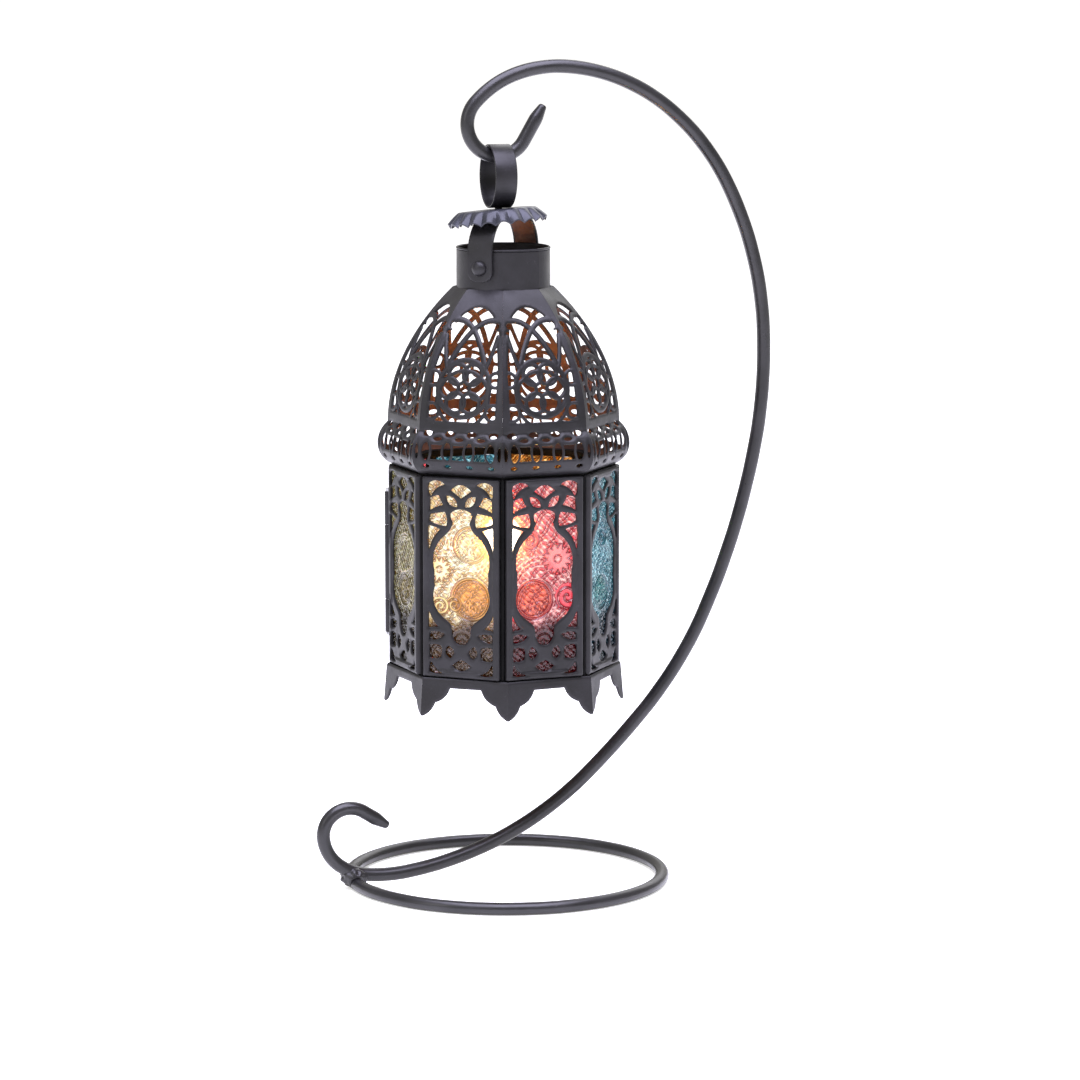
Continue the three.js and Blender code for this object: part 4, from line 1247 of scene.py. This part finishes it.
def base_skirt():
    gap = foot_gap()

    def lobes(u, z):
        return -inside(u, z, gap)

    def metal(u, z):
        side = skirt_reach(z) * SLOPE - np.abs(u)
        return np.minimum.reduce([lobes(u, z), side, z - SKIRT_LOW, SKIRT_TOP - 0.05 - z])

    def front(u, z):
        fall = crown(lobes(u, z), 0.35, 0.8) + crown(SKIRT_TOP - z, 0.5, 0.9)
        return place(u, z, skirt_reach(z) + fall)

    def back(u, z):
        return place(u * (1 - SHEET / skirt_reach(z)), z, skirt_reach(z) - SHEET)

    cut = cut_sheet(SKIRT_HALF, SKIRT_LOW, SKIRT_TOP, SHEET_GRID, metal)
    shells = []
    for i in range(SIDES):
        place = on_face(face_azimuth(i) + SKIRT_TURN)
        shells.append(thicken(cut, front, back)[:2])
    piece("footed_skirt", together(*shells), ["base_skirt"], crease=45)


# ---- Candle ---------------------------------------------------------------------------------


CUP_RADIUS = 21.3
LIP_ROLL = 0.6
CANDLE_RADIUS = 19.0
WICK_RADIUS = 0.72


def candle_cup():
    """A drawn cup with a rolled lip."""
    height, inner = CUP_TOP - CUP_LOW, CUP_RADIUS - SHEET
    lip = arc((CUP_RADIUS - 0.3, height - LIP_ROLL), (LIP_ROLL, LIP_ROLL), -math.pi / 2, math.pi, 8)
    profile = [(0, 0), (CUP_RADIUS - 1, 0), (CUP_RADIUS, 1), (CUP_RADIUS, height - 1.3), *lip,
               (inner, height - 1.4), (inner, 1.4), (inner - 0.6, SHEET), (0, SHEET)]
    piece("rolled_cup", turned(profile, on_axis(CUP_LOW), segments=72), ["candle_cup"])


def candle():
    """A votive candle with a shallow pool round the wick and an uneven lip."""
    height, radius = CANDLE_TOP - CANDLE_LOW, CANDLE_RADIUS
    profile = rounded([(0, 0), (radius, 0), (radius, height), (radius - 2.6, height - 0.2),
                       (radius * 0.72, height - 1.6), (2.5, height - 2.3), (0, height - 2.2)], 1.0, 5)
    points, faces = turned(profile, on_axis(CANDLE_LOW), segments=72)
    soft = roughen(points, 0.35, 0.12)
    soft[:, 2] = np.clip(soft[:, 2], CANDLE_LOW, CANDLE_TOP)
    spread = soft[:, :2] - AXIS[:2]
    reach = np.hypot(*spread.T)
    soft[:, :2] = AXIS[:2] + spread * np.minimum(1, radius / np.maximum(reach, 1e-6))[:, None]
    piece("poured_candle", (soft, faces), ["votive_candle"], "candle", "wax", [WAX])


def wick():
    """A braid of three strands that bends over a little."""
    low, high = heights("wick")
    rings = []
    for t in np.linspace(0, 1, 14):
        middle = on_axis(low + t * (high - low)) + (0.5 * t * t, 0, 0)
        ring = []
        for a in np.arange(12) * math.pi / 6:
            radius = WICK_RADIUS + 0.1 * math.cos(3 * a + 9 * t)
            ring.append(middle + radius * np.array([math.cos(a), math.sin(a), 0]))
        rings.append(ring)
    piece("braided_wick", loft(rings, closed=False), ["wick"], "candle", "wick_cotton", [COTTON], 60)


def flame():
    """A drawn-out drop of light that leans a little."""
    angles = np.linspace(0, 2 * math.pi, 25)[:-1]
    circle = np.array([np.cos(angles), np.sin(angles), 0 * angles]).T
    rings = []
    for t in np.linspace(0.02, 0.995, 30):
        radius = 4.6 * math.sin(math.pi * t ** 0.62) ** 0.9 * (1 - 0.35 * t)
        middle = on_axis(CANDLE_TOP + 1.2 + t * (FLAME_HEIGHT - 4)) + (1.4 * t * t, 0, 0)
        rings.append(middle + radius * circle)
    piece("flame", loft(rings, closed=False), (), "candle", "wax", [FLAME], 70)


# ---- Door hardware --------------------------------------------------------------------------


LEAF_INSET = 1.7
LEAF_WIDTH = 1.1
LEAF_SHEET = 0.7
PULL_INSET = 14.9  # from the door's middle


def barrel(node, body, name):
    """A rolled knuckle of the hinge; the door's has the leaf on it."""
    low, high = heights(node)
    rise = (high - low) / 2
    section = box_section((1.1, -rise), (1.6, rise), 0.18)
    shape = turned(section, np.array([*HINGE_AXIS[:2], (low + high) / 2]), segments=28)
    if body == "door":
        shape = together(shape, door_leaf(low + LEAF_INSET, high - LEAF_INSET))
    piece(name, shape, [node], body)


def door_leaf(low, high):
    """The narrow leaf that joins the barrel to the door's edge."""
    place = on_face(face_azimuth(DOOR))
    edge, seat = PANEL_HALF - DOOR_RELIEF + 0.3, PANEL_FRONT - SHEET
    section = box_section((edge, seat - LEAF_SHEET), (edge + LEAF_WIDTH, seat), 0.15)
    rings = [place(section[:, 0], z + 0 * section[:, 0], section[:, 1]) for z in (low, high)]
    return loft(rings, closed=False)


def door_pull():
    """A small turned knob on a neck."""
    profile = rounded([(0, -SHEET), (0.8, -SHEET), (0.8, 0.3), (1.6, 0.3), (1.3, 2.2), (2.6, 3.3),
                       (2.6, 4.7), (1.6, 5.5), (0, 5.5)], 0.4) + (0, PANEL_FRONT)
    azimuth = face_azimuth(DOOR)
    origin = on_axis(centre_mm("door_pull")[2]) - PULL_INSET * outward(azimuth + 90)
    piece("door_knob", turned(profile, origin, outward(azimuth), 32), ["door_pull"], "door")


# ---- The whole object -----------------------------------------------------------------------


def repaint():
    """CAD nodes that keep their own shape get a finish of their own: near black on the rails and corner posts
    for painted shade between the parts, and the painted candle glow of the inside on the floor plate.
    """
    kept = {"hinge_pin": STEEL, "floor_plate": INSIDE_PAINTED_GLOW, "upper_rail": PAINTED_SHADE_ENAMEL, "lower_rail": PAINTED_SHADE_ENAMEL}
    kept.update({f"corner_post_{i + 1}": PAINTED_SHADE_ENAMEL for i in range(SIDES)})
    for node, material in kept.items():
        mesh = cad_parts[node].data
        mesh.materials.clear()
        mesh.materials.append(material)


def build():
    hook_rod()
    ring_bar()
    weld_lump()
    loop_band()
    loop_rivet()
    fluted_cap()
    bail_strap()
    chimney()
    chimney_rivet("bail_rivet_front", -BAIL_TURN)
    chimney_rivet("bail_rivet_rear", 180 - BAIL_TURN)
    dome_gores()
    panels()
    panes()
    rail_lip()
    base_skirt()
    candle_cup()
    candle()
    wick()
    flame()
    barrel("hinge_knuckle_lower", "lantern", "lower_barrel")
    barrel("hinge_knuckle_upper", "lantern", "upper_barrel")
    barrel("hinge_knuckle_door", "door", "door_barrel")
    door_pull()
    repaint()


# ---- Stage ----------------------------------------------------------------------------------

FLOOR_REACH = 30.0  # in metres, as everything about the lights is
WHITE = (1.0, 1.0, 1.0)
CAMERA_OFFSET = (13.9, -1816.8)  # from the ring's axis
CAMERA_HEIGHT = 417.5
CAMERA_PITCH = 8.627
CAMERA_LENS = 149.8


def floor():
    mesh = bpy.data.meshes.new("floor")
    corners = [(-FLOOR_REACH, -FLOOR_REACH), (FLOOR_REACH, -FLOOR_REACH), (FLOOR_REACH, FLOOR_REACH),
               (-FLOOR_REACH, FLOOR_REACH)]
    mesh.from_pydata([(x, y, 0) for x, y in corners], [], [(0, 1, 2, 3)])
    finish = Finish("floor_paper")
    paper = finish.ramp(finish.noise(3, 2), (0.3, (0.9, 0.9, 0.9)), (0.7, (0.92, 0.92, 0.92)))
    finish.set(Base_Color=paper, Roughness=0.9, Specular_IOR_Level=0.1)
    finish.set(Emission_Color=WHITE, Emission_Strength=0.58)
    mesh.materials.append(finish.material)
    obj = bpy.data.objects.new("floor", mesh)
    bpy.context.scene.collection.objects.link(obj)


def area_light(name, place, size, power, colour):
    data = bpy.data.lights.new(name, "AREA")
    data.shape, data.size, data.energy, data.color = "SQUARE", size, power, colour
    light = bpy.data.objects.new(name, data)
    light.location = place
    target = Vector((RING[0] * MM, 0, 0.17))
    light.rotation_euler = (target - light.location).to_track_quat("-Z", "Y").to_euler()
    bpy.context.scene.collection.objects.link(light)


def candle_light():
    data = bpy.data.lights.new("candle_light", "POINT")
    data.energy, data.color, data.shadow_soft_size = 0.28, (1.0, 0.5, 0.18), 0.005
    light = bpy.data.objects.new("candle_light", data)
    light.location = on_axis(CANDLE_TOP + 15) * MM
    bpy.context.scene.collection.objects.link(light)


def sky():
    """An even surround that the camera sees white, while it shines a warmer and weaker light."""
    world = bpy.data.worlds.new("studio")
    world.use_nodes = True
    tree = world.node_tree
    shine = tree.nodes["Background"]
    shine.inputs["Color"].default_value = (1.0, 0.975, 0.915, 1)
    shine.inputs["Strength"].default_value = 0.52
    seen = tree.nodes.new("ShaderNodeBackground")
    seen.inputs["Color"].default_value = (*WHITE, 1)
    mix = tree.nodes.new("ShaderNodeMixShader")
    ray = tree.nodes.new("ShaderNodeLightPath")
    tree.links.new(ray.outputs["Is Camera Ray"], mix.inputs["Fac"])
    tree.links.new(shine.outputs["Background"], mix.inputs[1])
    tree.links.new(seen.outputs["Background"], mix.inputs[2])
    tree.links.new(mix.outputs["Shader"], tree.nodes["World Output"].inputs["Surface"])
    bpy.context.scene.world = world


def camera():
    data = bpy.data.cameras.new("camera")
    data.lens, data.sensor_width = CAMERA_LENS, 36.0
    data.clip_start, data.clip_end = 0.05, 100.0
    obj = bpy.data.objects.new("camera", data)
    obj.location = Vector((RING[0] + CAMERA_OFFSET[0], RING[1] + CAMERA_OFFSET[1], CAMERA_HEIGHT)) * MM
    obj.rotation_euler = (math.radians(90 - CAMERA_PITCH), 0, 0)
    bpy.context.scene.collection.objects.link(obj)
    bpy.context.scene.camera = obj


build()
floor()
sky()
area_light("overhead", (0.0, -0.35, 1.7), 1.8, 84, (0.79, 0.77, 1.0))
area_light("side", (-1.4, -1.1, 0.9), 1.0, 6, (1.0, 0.99, 0.98))
area_light("behind", (0.5, 1.6, 1.3), 1.4, 12, (0.96, 0.96, 1.0))
candle_light()
camera()
bpy.context.scene.view_settings.view_transform = "Standard"
